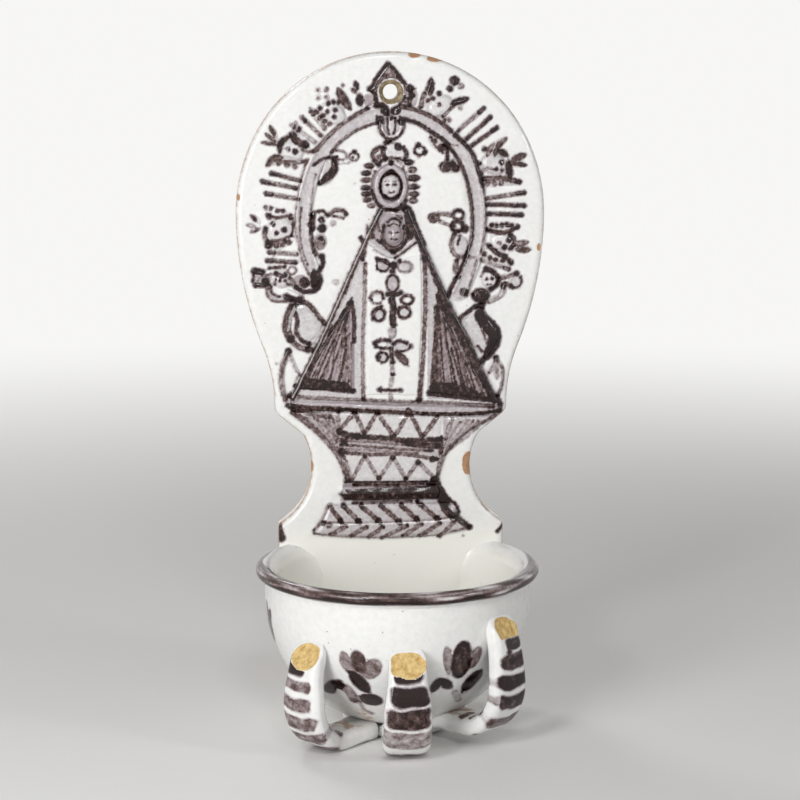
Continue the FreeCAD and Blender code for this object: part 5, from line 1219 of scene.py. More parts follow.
def closedSheet(front, faces, back):    # a front sheet, its back sheet and the wall between them
    count = len(front)
    pairs = {}
    for a, b in np.vstack([faces[:, [0, 1]], faces[:, [1, 2]], faces[:, [2, 3]], faces[:, [3, 0]]]):
        if a != b:
            pairs[(a, b)] = True
    rims = [(a, b) for a, b in pairs if (b, a) not in pairs]
    allFaces = [[int(v) for v in dict.fromkeys(face)] for face in faces]
    allFaces += [[int(v) + count for v in reversed(face)] for face in list(allFaces)]
    allFaces += [[int(b), int(a), int(a) + count, int(b) + count] for a, b in rims]
    mesh = bpy.data.meshes.new("sheet")
    mesh.from_pydata([tuple(v) for v in np.vstack([front, back]) * mm], [], allFaces)
    return mesh


# the raised clay: sizes in mm; the shoulder of a cord or an edge is worn to an even slope, and that
# slope is what catches the light
relief = {
    "pitch": 0.34, "sunk": 8.55, "outside": -0.5, "margin": 1.5, "overlap": 0.35, "wobble": 0.07,
    "wobbleSize": 6, "shoulderSlope": 0.37, "shoulderStart": 0.12, "edgePower": 6, "roundPower": 2,
    "edgeRise": 3, "buried": 0.07, "skirt": 0.45, "dimples": 0.03, "hollowSlope": 1.1, "grooveSoft": 0.6,
    "raisedFrom": 0.3, "footLevel": -170, "rimSlope": 0.5, "rimDrop": 0.9, "showFrom": -0.12,
    "keepFrom": -0.49, "lowest": -0.3, "pooled": 0.42, "poolHeight": 0.3, "calmInk": 0.4,
}


def heightOf(forms, x, z):    # mm the clay stands above the slab's face; below it outside the forms
    height = np.full(x.shape, relief["outside"])
    margin, overlap = relief["margin"], relief["overlap"]
    for top, rounding, mark in forms:
        left, right, low, high = prepare(mark)["box"]
        pick = (x > left - margin) & (x < right + margin) & (z > low - margin) & (z < high + margin)
        if not pick.any():
            continue
        wobble = relief["wobble"] * ripple(x[pick], z[pick], relief["wobbleSize"], 9)
        inward = markEdge(mark, x[pick], z[pick])[0] + wobble + overlap
        t = np.clip(inward / (rounding + overlap), 0, 1)
        fall = top * (1 - t) ** relief["roundPower"]
        if mark["kind"] not in ("oval", "leaf"):    # cords and edges have the worn shoulder
            beyond = np.maximum((1 - t) * (rounding + overlap) - relief["shoulderStart"], 0)
            fall = np.maximum(relief["shoulderSlope"] * beyond, top * (1 - t) ** relief["edgePower"])
        rise = (top - fall) * np.clip(t * relief["edgeRise"], 0, 1) - relief["buried"]
        height[pick] = np.maximum(height[pick], rise + relief["skirt"] * np.minimum(inward, 0))
    return height


def makeRelief(node, motif):
    pitch = relief["pitch"]
    boxes = np.array([prepare(mark)["box"] for _, _, mark in motif["forms"]])
    low = np.floor((boxes[:, [0, 2]].min(0) - 1) / pitch).astype(int)
    high = np.ceil((boxes[:, [1, 3]].max(0) + 1) / pitch).astype(int)
    x, z = np.meshgrid(*(np.arange(first, last + 1) * pitch for first, last in zip(low, high)), indexing="ij")
    cells = gridCells(x.shape)
    x, z = x.ravel(), z.ravel()
    height = heightOf(motif["forms"], x, z)
    if "hollow" in motif:
        cx, cz, radius = motif["hollow"]
        height = np.minimum(height, (np.hypot(x - cx, z - cz) - radius) * relief["hollowSlope"])
    if "groove" in motif:
        depth, cut = motif["groove"]
        height = height - depth * np.clip(markEdge(prepare(cut), x, z)[0] + relief["grooveSoft"], 0, 1)
    dimples = relief["dimples"] * ripple(x, z, relief["wobbleSize"], 13)
    height = height + np.where(height > relief["raisedFrom"], dimples, 0)
    edges = toPath(x, z, closedOutline)[0]
    nearRim = (edges < slab["edgeRound"]) & (z > relief["footLevel"])
    lowered = np.minimum(height, edges * relief["rimSlope"] - relief["rimDrop"])
    height = np.where(nearRim, lowered, height)
    shows = (height[cells] > relief["showFrom"]).any(1) & (height[cells] > relief["keepFrom"]).all(1)
    used, cells = usedOnly(len(x), cells[shows])
    x, z, height = x[used], z[used], np.maximum(height[used], relief["lowest"])
    front = np.stack([x, -slab["front"] + waves(x, z) - height, z], 1)
    back = np.stack([x, np.full(len(x), -relief["sunk"]), z], 1)
    mesh = closedSheet(front, cells, back)

    x, z, height = np.tile(x, 2), np.tile(z, 2), np.tile(height, 2)
    edge, tone = brushOn(x, z, allInk)
    hollows = np.exp(-(height / relief["poolHeight"]) ** 2) * np.clip(edge - unpainted, 0, 1)
    washed = np.maximum(softWash(x, z, allWash), relief["pooled"] * hollows)    # the wash is also laid where the clay is low, round the foot of the raised forms near painted marks
    return makePiece(motif["piece"], [node], "painted_relief", mesh,
                     {"inkEdge": edge, "inkTone": tone, "washed": washed, "calmInk": relief["calmInk"]})


for node, motif in motifs.items():
    makeRelief(node, motif)
print("stage: relief pressed")


def extrudeRows(work, edges, rows, placeOf):    # grow a border row by row, and return its last edges
    for row in rows:
        grown = bmesh.ops.extrude_edge_only(work, edges=edges)["geom"]
        for vert in (v for v in grown if isinstance(v, bmesh.types.BMVert)):
            vert.co = placeOf(vert.co, row)
        edges = [edge for edge in grown if isinstance(edge, bmesh.types.BMEdge) and edge.is_boundary]
    return edges


def chipShare(x, z, chip):    # 0 at the middle of a chip and 1 at its edge
    cx, cz, acrossHalf, upHalf = chip
    return np.hypot((x - cx) / acrossHalf, (z - cz) / upHalf)


def slabSheet():    # the slab's mesh: its face, its side wall, its bore and its back
    pitch, reach = slab["pitch"], slab["edgeRound"]
    low, high = outline.min(0) - 1, outline.max(0) + 1
    sides = (np.arange(first, last + pitch, pitch) for first, last in zip(low, high))
    x, z = np.meshgrid(*sides, indexing="ij")
    cells = gridCells(x.shape)
    x, z = x.ravel(), z.ravel()
    away, _, nearX, nearZ = toPath(x, z, closedOutline)
    away = np.where(insideOf(x, z, outline), away, -away)
    bore = slab["holeRadius"] + slab["bevel"]
    fromBore = np.hypot(x, z) - bore
    onEdge, onBore = np.abs(away) < 0.5 * pitch, np.abs(fromBore) < 0.5 * pitch
    away = np.where(onEdge, 0, away)

    # places near the outline follow its round, and places at the bore lie on its circle
    bend = np.clip(away / reach, 0, 1) * math.pi / 2
    offset = np.where(away < reach, reach * (1 - np.cos(bend)), away)
    step = np.where(away > 0.01, offset / np.maximum(away, 0.01), 0)
    move = (away < reach) & (away > -0.5 * pitch)
    x, z = np.where(move, nearX + (x - nearX) * step, x), np.where(move, nearZ + (z - nearZ) * step, z)
    scale = np.where(onBore, bore / np.maximum(np.hypot(x, z), 0.1), 1)
    x, z = x * scale, z * scale
    flat = slab["flatRim"]
    waved = waves(x, z) * np.clip(away / flat, 0, 1) * np.clip(fromBore / flat, 0, 1)
    y = -slab["front"] + reach * (1 - np.sin(bend)) + waved
    for chip in slab["chips"]:
        dent = slab["chipDepth"] * np.clip(slab["chipReach"] - chipShare(x, z, chip), 0, 1)
        y = np.minimum(y + dent, slab["chipBack"])
    keep = (away > -0.01) & ((fromBore > 0) | onBore)
    used, cells = usedOnly(len(x), cells[keep[cells].all(1) & ~onEdge[cells].all(1) & ~onBore[cells].all(1)])

    work = bmesh.new()
    verts = [work.verts.new((x[i] * mm, y[i] * mm, z[i] * mm)) for i in used]
    for cell in cells:
        work.faces.new([verts[i] for i in cell])
    borders = [edge for edge in work.edges if edge.is_boundary]
    nearBore = 1.3 * bore * mm
    rimEdges = [edge for edge in borders if edge.verts[0].co.xz.length > nearBore]
    boreEdges = [edge for edge in borders if edge.verts[0].co.xz.length <= nearBore]

    def straightBack(co, depth):
        return Vector((co.x, depth * mm, co.z))

    def intoBore(co, row):
        shrink = row[0] * mm / co.xz.length
        return Vector((co.x * shrink, row[1] * mm, co.z * shrink))

    rimEdges = extrudeRows(work, rimEdges, slab["sideRows"], straightBack)
    boreEdges = extrudeRows(work, boreEdges, slab["boreRows"], intoBore)
    bmesh.ops.triangle_fill(work, edges=rimEdges + boreEdges, use_beauty=True)
    bmesh.ops.recalc_face_normals(work, faces=work.faces)
    mesh = bpy.data.meshes.new("slab")
    work.to_mesh(mesh)
    work.free()
    return mesh


def makeSlab():
    mesh = slabSheet()
    x, y, z = spotsOf(mesh).T
    edge, tone = brushOn(x, z, allInk)
    painted = y < slab["paintTo"]
    back, wall = y > slab["backFrom"], y > slab["wallFrom"]
    raw = np.zeros(len(x))
    for chip in slab["chips"]:
        stain = slab["chipStain"] - (y > slab["chipStainFrom"]) * slab["chipStainLess"]
        raw = np.maximum(raw, np.clip(stain - chipShare(x, z, chip), 0, 1))
    away = toPath(x, z, closedOutline)[0]
    lowFoot, highFoot = slab["footWearAt"]
    foot = (z < highFoot) & (z > lowFoot)
    thin = np.clip(1 - away / slab["worn"], 0, 1) * (slab["edgeWear"] + slab["footWear"] * foot)
    patches = slab["wallWear"] + slab["wallPatches"] * ripple(x + y * 2, z, slab["wallPatchSize"], 33)
    bottom = np.clip((y - slab["wallBottomFrom"]) / slab["wallBottomOver"], 0, 1)
    thin = np.where(wall, patches + slab["wallBottom"] * bottom, thin)
    bevel = np.where((np.hypot(x, z) < slab["bevelRing"]) & (y > slab["bevelFace"]) & ~back, 1.0, 0)
    # the slab's face inside and just above the bowl takes the cream glaze, partly painted light
    creamWithPaintedLight = np.clip((slab["creamFrom"] - z) / slab["creamOver"], 0, 1) * painted
    paint = {"inkEdge": np.where(y > slab["paintTo"], unpainted, edge), "inkTone": tone,
             "washed": softWash(x, z, allWash) * painted, "rawClay": np.where(back, 0, raw),
             "thinGlaze": thin, "bareBevel": bevel, "creamAndPaintedLight": creamWithPaintedLight, "calmInk": slab["calmInk"]}
    return makePiece("glazedSlab", ["back_plate"], "white_glaze", mesh, paint)


makeSlab()
print("stage: slab cut")


class Grower:    # a small writer for geometry node trees
    def __init__(self, name, inputs):
        self.tree = bpy.data.node_groups.new(name, "GeometryNodeTree")
        face = self.tree.interface
        face.new_socket("Geometry", in_out="INPUT", socket_type="NodeSocketGeometry")
        self.keys = {}
        for key, value in inputs.items():
            kind = "Int" if isinstance(value, int) else "Float"
            socket = face.new_socket(key, in_out="INPUT", socket_type="NodeSocket" + kind)
            self.keys[key] = (socket.identifier, value)
        face.new_socket("Geometry", in_out="OUTPUT", socket_type="NodeSocketGeometry")
        self.entry = self.tree.nodes.new("NodeGroupInput")
        self.exit = self.tree.nodes.new("NodeGroupOutput")

    def node(self, kind, settings=None, out=0, **named):
        made = self.tree.nodes.new(kind)
        for key, value in (settings or {}).items():
            setattr(made, key, value)
        for key, value in named.items():
            socket = made.inputs[int(key[1:]) if key[1:].isdigit() else key.replace("_", " ")]
            if isinstance(value, bpy.types.NodeSocket):
                self.tree.links.new(value, socket)
            else:
                socket.default_value = value
        return made.outputs[out]

    def input(self, key):
        return self.entry.outputs[key]

    def grow(self, name, data, geometry, material):    # run it once and keep a plain mesh
        real = self.node("GeometryNodeRealizeInstances", Geometry=geometry)
        last = self.node("GeometryNodeSetMaterial", Geometry=real, Material=material)
        self.tree.links.new(last, self.exit.inputs[0])
        holder = bpy.data.objects.new(name, data)
        bpy.context.collection.objects.link(holder)
        step = holder.modifiers.new("grow", "NODES")
        step.node_group = self.tree
        for identifier, value in self.keys.values():
            step[identifier] = value
        graph = bpy.context.evaluated_depsgraph_get()
        mesh = bpy.data.meshes.new_from_object(holder.evaluated_get(graph), depsgraph=graph)
        holder.modifiers.remove(step)
        bpy.data.objects.remove(holder)
        return mesh


def polyline(name, points):
    curve = bpy.data.curves.new(name, "CURVE")
    curve.dimensions = "3D"
    spline = curve.splines.new("POLY")
    spline.points.add(len(points) - 1)
    for spot, place in zip(spline.points, points):
        spot.co = (place[0] * mm, place[1] * mm, 0, 1)
    return curve


def arc(centre, radius, start, end, steps):
    return [(centre[0] + radius * math.cos(math.radians(a)), centre[1] + radius * math.sin(math.radians(a)))
            for a in np.linspace(start, end, steps)]


# the bowl: sizes in mm, angles in degrees from its front; luting is the clay smoothed into the corner
# between bowl and slab, as (reach, thickness)
bowl = {
    "axis": -41.0, "rimTop": -176.5, "radius": 50.5, "wall": 5.2, "shoulder": 12.0, "foot": 17.15,
    "floor": 6.0, "roll": 2.4, "overhang": 3.4, "lip": 7.0, "lipCentre": (52.0, -6.98), "steps": 288,
    "middle": 24.0, "cut": -8.7, "luting": (13, 6.8), "lutingFrom": 1, "lutingOver": 11,
    "paintedBack": 34, "band": 4.3, "bandWobble": 0.5, "bandInside": 2, "bandWidens": 4.6,
    "widenFrom": 55, "widenOver": 45, "bandEnd": 122, "bandTone": 0.52, "bandEdgeTone": 0.85,
    "bandEdge": 1.3, "streaks": 0.3, "patches": 0.14, "creamRim": 3, "creamFrom": 0.6, "creamOver": 3,
    "thinInside": 0.1, "thinFrom": 44, "thinOver": 16, "thinMost": 0.6, "calmInk": 1.0,
}
gapAtPole = 2e-6    # metres within which the places at a turned shape's pole are joined


def bowlProfile():    # radius and height below the rim, from the middle of the floor round to the underside
    outer, inner, centre = bowl["radius"], bowl["radius"] - bowl["wall"], -bowl["shoulder"]
    depth = bowl["shoulder"] + math.sqrt(outer ** 2 - bowl["foot"] ** 2)
    rollX = outer + bowl["overhang"] - bowl["roll"]
    floor = bowl["floor"] - depth
    lowInside = math.degrees(math.asin((floor - centre) / inner))
    profile = [(r, floor) for r in np.linspace(0, inner * math.cos(math.radians(lowInside)) - 0.6, 12)]
    profile += arc((0, centre), inner, lowInside + 1.5, 0, 40) + [(inner, h) for h in (-9, -7, -5.6)]
    profile += arc(bowl["lipCentre"], bowl["lip"], 163, 97, 12)
    profile += arc((rollX, -bowl["roll"]), bowl["roll"], 88, -100, 16)
    profile += [(outer + 0.25, -5.6), (outer, -6.8), (outer, -9)]
    profile += arc((0, centre), outer, 0, math.degrees(math.asin((-depth - centre) / outer)), 56)
    profile += [(bowl["foot"] - 0.8, -depth)] + [(r, -depth) for r in np.linspace(15, 0, 8)]
    return profile, depth


def turned(name, middle, around, top, inputs):    # a section swept round the bowl's axis
    tree = Grower(name, {"around": around, "middleRadius": middle * mm, "axisPlace": bowl["axis"] * mm,
                         "topHeight": top * mm, "poleGap": gapAtPole, **inputs})
    circle = tree.node("GeometryNodeCurvePrimitiveCircle", Resolution=tree.input("around"),
                       Radius=tree.input("middleRadius"))
    body = tree.node("GeometryNodeCurveToMesh", Curve=circle, Profile_Curve=tree.input("Geometry"))
    body = tree.node("GeometryNodeMergeByDistance", Geometry=body, Distance=tree.input("poleGap"))
    where = tree.node("ShaderNodeCombineXYZ", Y=tree.input("axisPlace"), Z=tree.input("topHeight"))
    return tree, tree.node("GeometryNodeTransform", Geometry=body, Translation=where)


bowlFlowers = [
    leaf(0.42, 4.6, (-23, -200.4), (-21.8, -204), (-18.6, -209)),
    leaf(1, 4.6, (-20, -208.4), (-17, -212), (-13.6, -216)),
    leaf(0.98, 3.6, (13, -211.4), (14.8, -213.4), (17, -215.4)),
    leaf(0.9, 3.4, (9.8, -216.2), (12, -212.4), (13.6, -211.6)),
    leaf(1, 5, (22.2, -218.2), (24.8, -214.4), (28.4, -210.6)), oval(0.45, -12.6, -206.2, 3.3, 4.6, -28),
    oval(0.66, -17.4, -203.6, 2.7, 4.6, 14), oval(0.4, 15.3, -203.6, 1.8, 6, 8),
    oval(0.46, 25.6, -204, 2.3, 4.6, -22), oval(0.72, 20.4, -204, 3.6, 7.4, -6),
    ring(0.95, 1.5, 20.4, -204, 3, 6.9, -6), oval(0.92, -12.4, -220, 4.2, 2.7, -12),
    line(0.3, 2.2, (-16.8, -219.6), (-14.6, -218.4)),
    line(0.45, 3.6, (-24.4, -214.4), (-21, -216.2), (-18.4, -220.6)),
    line(0.95, 4, (-27.4, -217.6), (-26.2, -215), (-24.4, -214.4)),
    line(0.4, 1.2, (-16.2, -221.5), (-14.8, -225.4), (-11.3, -227.6)),
    line(0.25, 2.6, (18.9, -218.4), (20.6, -222.6)), line(0.2, 1.6, (20.8, -220), (23.2, -219)),
]
# this spray lies round the left side, so its first number is mm round the bowl from its front
sideSpray = [
    leaf(0.75, 4.8, (-66.4, -192), (-69.6, -196.6), (-68.4, -202.6)),
    leaf(0.9, 4.4, (-76.6, -195.4), (-73.8, -199.4), (-70.2, -204)),
    leaf(0.6, 3.6, (-71.6, -189.4), (-72.2, -194.4)),
    line(0.4, 1.3, (-69.4, -204), (-71.4, -210), (-76, -214.6)),
]


def paintRim(angle, drop, radius, inner):    # edge and tone of the dark band on the rim
    band = bowl["band"] + bowl["bandWobble"] * ripple(angle, angle * 0, 40, 6)
    sideways = np.clip((np.abs(angle) - bowl["widenFrom"]) / bowl["widenOver"], 0, 1)
    reach = inner + bowl["bandInside"] + bowl["bandWidens"] * sideways
    edge = np.minimum(band - drop, radius - (reach + bowl["bandWobble"] * ripple(angle, angle * 0, 25, 8)))
    edge = np.where(np.abs(angle) > bowl["bandEnd"], unpainted, edge)
    streaks = bowl["streaks"] * ripple(angle * 0.35, drop * 5 + radius * 3, 7, 3)
    streaks = streaks + bowl["patches"] * ripple(angle, angle * 0, 50, 12)
    return edge, bowl["bandTone"] + bowl["bandEdgeTone"] * np.exp(-(edge / bowl["bandEdge"]) ** 2) + streaks


def makeBowl():
    profile, depth = bowlProfile()
    tree, thrown = turned("thrownBowl", bowl["middle"], bowl["steps"], bowl["rimTop"],
                          {"flatBack": bowl["cut"] * mm})
    split = tree.node("ShaderNodeSeparateXYZ", i0=tree.node("GeometryNodeInputPosition")).node
    held = tree.node("ShaderNodeMath", {"operation": "MINIMUM"}, i0=split.outputs[1],
                     i1=tree.input("flatBack"))
    held = tree.node("ShaderNodeCombineXYZ", X=split.outputs[0], Y=held, Z=split.outputs[2])
    thrown = tree.node("GeometryNodeSetPosition", Geometry=thrown, Position=held)
    section = polyline("bowlSection", [(r - bowl["middle"], -h) for r, h in profile])
    mesh = tree.grow("bowlTurning", section, thrown, finish["white_glaze"])
    facesOut(mesh)
    x, y, z = spotsOf(mesh).T
    radius, drop = np.hypot(x, y - bowl["axis"]), bowl["rimTop"] - z
    angle = np.degrees(np.arctan2(x, -(y - bowl["axis"])))
    inner = bowl["radius"] - bowl["wall"]
    isInside = (radius < inner + 0.5) & (drop < depth - 3) & (drop > 1.2)
    isInside &= np.hypot(radius, drop - bowl["shoulder"]) < bowl["radius"] - 1.5

    edge, tone = brushOn(x, z, bowlFlowers)
    sideEdge, sideTone = brushOn(np.radians(angle) * bowl["radius"], z, sideSpray)
    tone, edge = np.where(sideEdge > edge, sideTone, tone), np.maximum(edge, sideEdge)
    edge = np.where(~isInside & (y < bowl["axis"] + bowl["paintedBack"]), edge, unpainted)
    rimEdge, rimTone = paintRim(angle, drop, radius, inner)
    tone = np.where(rimEdge > edge, rimTone, tone)
    edge = np.clip(np.maximum(edge, rimEdge), unpainted, -unpainted)

    ahead = np.clip(1 - (-slab["front"] - y) / bowl["luting"][0], 0, 1)
    lutedDown = np.clip((drop - bowl["lutingFrom"]) / bowl["lutingOver"], 0, 1)
    luted = bowl["luting"][1] * (1 - np.sqrt(1 - ahead)) ** 2 * lutedDown
    shift = np.where(isInside & (y < -slab["front"] + 0.5), luted, 0)
    moveSpots(mesh, x * (1 - shift / np.maximum(radius, 1)), y, z)
    # the bowl's inside takes the cream glaze, partly painted light
    creamWithPaintedLight = np.where(drop < bowl["shoulder"], radius < inner + bowl["creamRim"], isInside)
    creamWithPaintedLight = creamWithPaintedLight * np.clip((drop - bowl["creamFrom"]) / bowl["creamOver"], 0, 1)
    thin = np.clip((drop - bowl["thinFrom"]) / bowl["thinOver"], 0, bowl["thinMost"])
    thin = np.where(isInside, bowl["thinInside"], thin * (0.5 + 0.5 * ripple(angle, drop, 30, 14)))
    return makePiece("glazedBowl", ["bowl"], "white_glaze", mesh,
                     {"inkEdge": edge, "inkTone": tone, "creamAndPaintedLight": creamWithPaintedLight, "thinGlaze": thin,
                      "calmInk": bowl["calmInk"]})


makeBowl()
print("stage: bowl thrown")


# the scrolls: sizes in mm; spread is the share of the width at seven places from the root to the tip, and
# the two bare places are (middle along the strap, half length, strength)
strap = {
    "width": 15.5, "thickness": 7.0, "corner": 2.6, "cornerSteps": 7, "around": 92, "standOut": 4.0,
    "bend": 17.0, "hang": 1.2, "rise": 0.8, "sink": 0.9, "clearance": 0.4, "rootMargin": 3.6,
    "rootThickness": 4.2, "rootRound": 2.1, "rootSteps": 160, "slim": 0.14, "slimPower": 2.4,
    "slimFrom": 4, "spreadFromRoot": (0, 10, 28, 44), "spreadFromTip": (14, 5, 0),
    "spread": (1, 1, 1.14, 1.13, 0.95, 0.88, 0.86), "tongue": 6.5, "tongueRound": 6.7, "tongueTip": 0.03,
    "scarHeight": 9.5, "scarBite": 7.0, "scarMiddle": 0.56, "scarWobble": 0.07, "scarDeep": 2.6,
    "scarEdge": 6, "ruggedEdge": 4, "rugged": (0.3, 3.2), "smallRugged": (0.14, 1.3), "bow": 1.3,
    "stripeWobble": 0.35, "stripeEndWobble": 0.5, "stripeRound": 1.7, "stripeTone": 0.9,
    "stripeShade": 0.2, "bareInside": (11, 8, 1.3), "bareOutside": (21, 5, 0.5), "bareLeast": 0.3,
    "barePatches": 0.6, "calmInk": 0.8,
}
# stripes: (start, end, tone, from, to) in mm along the strap from its inner end and in shares of its width
straps = {
    "left_scroll_strap": {
        "piece": "leftScroll", "turn": -43.0, "lift": 0, "scarDrop": 21.0, "scar": (6.0, 4.6),
        "stripes": ((18.4, 25.4, 0.6, 0.06, 1.2), (27.8, 32.6, 0.55, 0.02, 1.2), (34.2, 39, 0.52, 0.1, 1.2),
                    (41, 45.2, 0.52, 0.14, 1.2), (47.8, 51.4, 0.5, 0.16, 1.2),
                    (53.4, 57.6, 1.15, 0.36, 1.2))},
    "centre_scroll_strap": {
        "piece": "centreScroll", "turn": 0.0, "lift": 0, "scarDrop": 21.0, "scar": (6.9, 4.2),
        "stripes": ((16.5, 24.6, 0.5, 0.02, 1), (29.4, 36.6, 0.4, -0.1, 1.2), (38, 44.4, 0.8, 0.03, 0.97),
                    (45.7, 52.2, 1.2, 0.08, 0.92), (53.7, 57.9, 1.2, 0.14, 0.86))},
    "right_scroll_strap": {
        "piece": "rightScroll", "turn": 44.0, "lift": 4.5, "scarDrop": 12.5, "scar": (5.9, 4.7),
        "stripes": ((14.4, 17.4, 0.7, 0.1, 0.6), (20, 23.4, 0.75, 0.1, 0.75), (28, 33.2, 0.66, 0.04, 1.2),
                    (36.2, 40.8, 0.92, 0.1, 1.2), (37.4, 40.4, 0.35, -0.02, 0.14),
                    (43.2, 47.8, 1.05, 0.06, 1.1), (50.2, 55.2, 0.85, 0.1, 0.96),
                    (55.2, 57.4, 0.9, 0.3, 0.5), (57, 61, 1.15, 0.28, 0.84))},
}


def wallAt(drop):    # radius of the bowl's outside at a depth below the rim
    return math.sqrt(bowl["radius"] ** 2 - (drop - bowl["shoulder"]) ** 2)


def sweepStrap(path):    # a strip of clay with rounded corners, bent along the path
    tree = Grower("scrollStrap", {"width": strap["width"] * mm, "thickness": strap["thickness"] * mm,
                                  "corner": strap["corner"] * mm, "cornerSteps": strap["cornerSteps"]})
    run = tree.node("GeometryNodeSplineParameter", out=1)
    rail = tree.node("GeometryNodeStoreNamedAttribute", {"data_type": "FLOAT", "domain": "POINT"},
                     Geometry=tree.input("Geometry"), Name="runAlong", Value=run)
    section = tree.node("GeometryNodeCurvePrimitiveQuadrilateral", Width=tree.input("thickness"),
                        Height=tree.input("width"))
    section = tree.node("GeometryNodeFilletCurve", {"mode": "POLY"}, Curve=section,
                        Count=tree.input("cornerSteps"), Radius=tree.input("corner"))
    section = tree.node("GeometryNodeResampleCurve", {"mode": "COUNT"}, Curve=section, Count=strap["around"])
    body = tree.node("GeometryNodeCurveToMesh", Curve=rail, Profile_Curve=section, Fill_Caps=True)
    mesh = tree.grow("strapSweep", polyline("strapPath", path), body, finish["striped_glaze"])
    run = np.zeros(len(mesh.vertices))
    mesh.attributes["runAlong"].data.foreach_get("value", run)
    return mesh, run / mm


def paintStripes(spec, run, across, side):    # edge and tone of the stripes
    edge, tone = np.full(len(run), unpainted), np.zeros(len(run))
    share = side / 2 + 0.5
    if spec["turn"] <= 0:
        share = 1 - share
    corner = strap["stripeRound"]
    for first, last, strength, low, high in spec["stripes"]:
        bowed = run - strap["bow"] * (2 * share - 1) ** 2 + strap["stripeWobble"] * ripple(run, across, 7, 31)
        lengthwise = np.minimum(bowed - first, last - bowed)
        sideways = np.minimum(share - low, high - share) * strap["width"]
        sideways = sideways + strap["stripeEndWobble"] * ripple(run, across, 9, int(first))
        inside = corner - np.hypot(np.maximum(corner - lengthwise, 0), np.maximum(corner - sideways, 0))
        shade = strength * (strap["stripeTone"] + strap["stripeShade"] * ripple(run, across, 5, 41))
        tone = np.where(inside > edge, shade, tone)
        edge = np.maximum(edge, np.clip(inside, unpainted, -unpainted))
    return edge, tone


def makeStrap(node, spec):
    low, bend = bowlProfile()[1] + strap["hang"] - spec["lift"], strap["bend"]
    start = bowl["foot"] + strap["rootMargin"] + strap["clearance"]
    reach = bowl["radius"] + strap["standOut"]
    tipDrop = spec["scarDrop"] - strap["rise"]
    rise, lean = low - bend - tipDrop, reach - (wallAt(tipDrop) - strap["sink"])
    big = (rise ** 2 + lean ** 2) / (2 * lean)
    path = [(u, -low) for u in np.linspace(start, reach - bend, 40)[:-1]]
    path += arc((reach - bend, bend - low), bend, -90, 0, 52)[:-1]
    path += arc((reach - big, bend - low), big, 0, math.degrees(math.asin(rise / big)), 60)
    mesh, run = sweepStrap(path)

    # the sweep lies flat: u out from the axis, v up, width across; it is stood up and turned here
    u, v, across = spotsOf(mesh).T
    side = across / (strap["width"] / 2)
    nearU, nearV = toPath(u, v, np.array(path))[2:]
    slim = 1 - strap["slim"] * np.clip(np.abs(side), 0, 1) ** strap["slimPower"]    # fuller along its middle
    slim = np.where(run > strap["slimFrom"], slim, 1)
    towardBend = np.where(run < reach - bend - start, 1, bend - low - nearV)
    within = (v - nearV) * towardBend + (u - nearU) * np.minimum(reach - bend - nearU, 0) > 0
    u, v = nearU + (u - nearU) * slim, nearV + (v - nearV) * slim
    drop = -v
    full = run.max()
    places = strap["spreadFromRoot"] + tuple(full - fromTip for fromTip in strap["spreadFromTip"])
    spread = np.interp(run, places, strap["spread"])
    intoTongue = np.maximum(run - full + strap["tongue"], 0) / strap["tongueRound"]
    across = across * spread * np.sqrt(np.clip(1 - intoTongue ** 2, strap["tongueTip"], 1))

    # where the tip has broken away, the strap is cut back and the break is rough
    limit = wallAt(spec["scarDrop"]) + strap["scarBite"] * (drop - spec["scarDrop"]) / strap["scarHeight"]
    middle = spec["scarDrop"] + strap["scarMiddle"] * strap["scarHeight"]
    inScar = 1 - np.hypot(across / spec["scar"][0], (drop - middle) / spec["scar"][1])
    inScar = inScar + strap["scarWobble"] * ripple(across, drop, 7, 80 + int(spec["turn"]))
    cutAway = (u > limit - 0.5) & (drop < spec["scarDrop"] + strap["scarHeight"] + 1)
    torn = np.clip(inScar * strap["scarEdge"] + 0.5, 0, 1) * cutAway
    (deep, size), (smallDeep, smallSize) = strap["rugged"], strap["smallRugged"]
    rugged = deep * (1 + ripple(across, drop, size, 17))
    rugged = rugged + smallDeep * (1 + ripple(across, drop, smallSize, 18))
    sunk = rugged * np.clip(inScar * strap["ruggedEdge"], 0, 1) + strap["scarDeep"] * np.clip(-inScar, 0, 1)
    u = np.where(cutAway, np.minimum(u, limit - sunk), u)

    edge, tone = paintStripes(spec, run, across, side)
    edge = np.where(torn > 0.3, unpainted, edge)
    turn = math.radians(spec["turn"] - 90)
    moveSpots(mesh, u * math.cos(turn) - across * math.sin(turn),
              bowl["axis"] + u * math.sin(turn) + across * math.cos(turn), bowl["rimTop"] + v)
    facesOut(mesh)
    patchy = 0.5 + 0.5 * ripple(run, across, 8, 27)
    (inAt, inHalf, inMost), (outAt, outHalf, outMost) = strap["bareInside"], strap["bareOutside"]
    bareInside = np.clip(inMost - np.abs(run - inAt) / inHalf, 0, 1)
    bareInside = bareInside * (strap["bareLeast"] + strap["barePatches"] * patchy)
    bareInside = bareInside * (spec["turn"] != 0) * np.clip(2 - 2 * np.abs(side), 0, 1)
    bareOutside = np.clip(1 - np.abs(run - outAt) / outHalf, 0, 1) * outMost * patchy
    return makePiece(spec["piece"], [node], "striped_glaze", mesh,
                     {"inkEdge": edge, "inkTone": tone, "scarred": torn,
                      "thinGlaze": np.where(within, bareInside, bareOutside), "calmInk": strap["calmInk"]})


for node, spec in straps.items():
    makeStrap(node, spec)


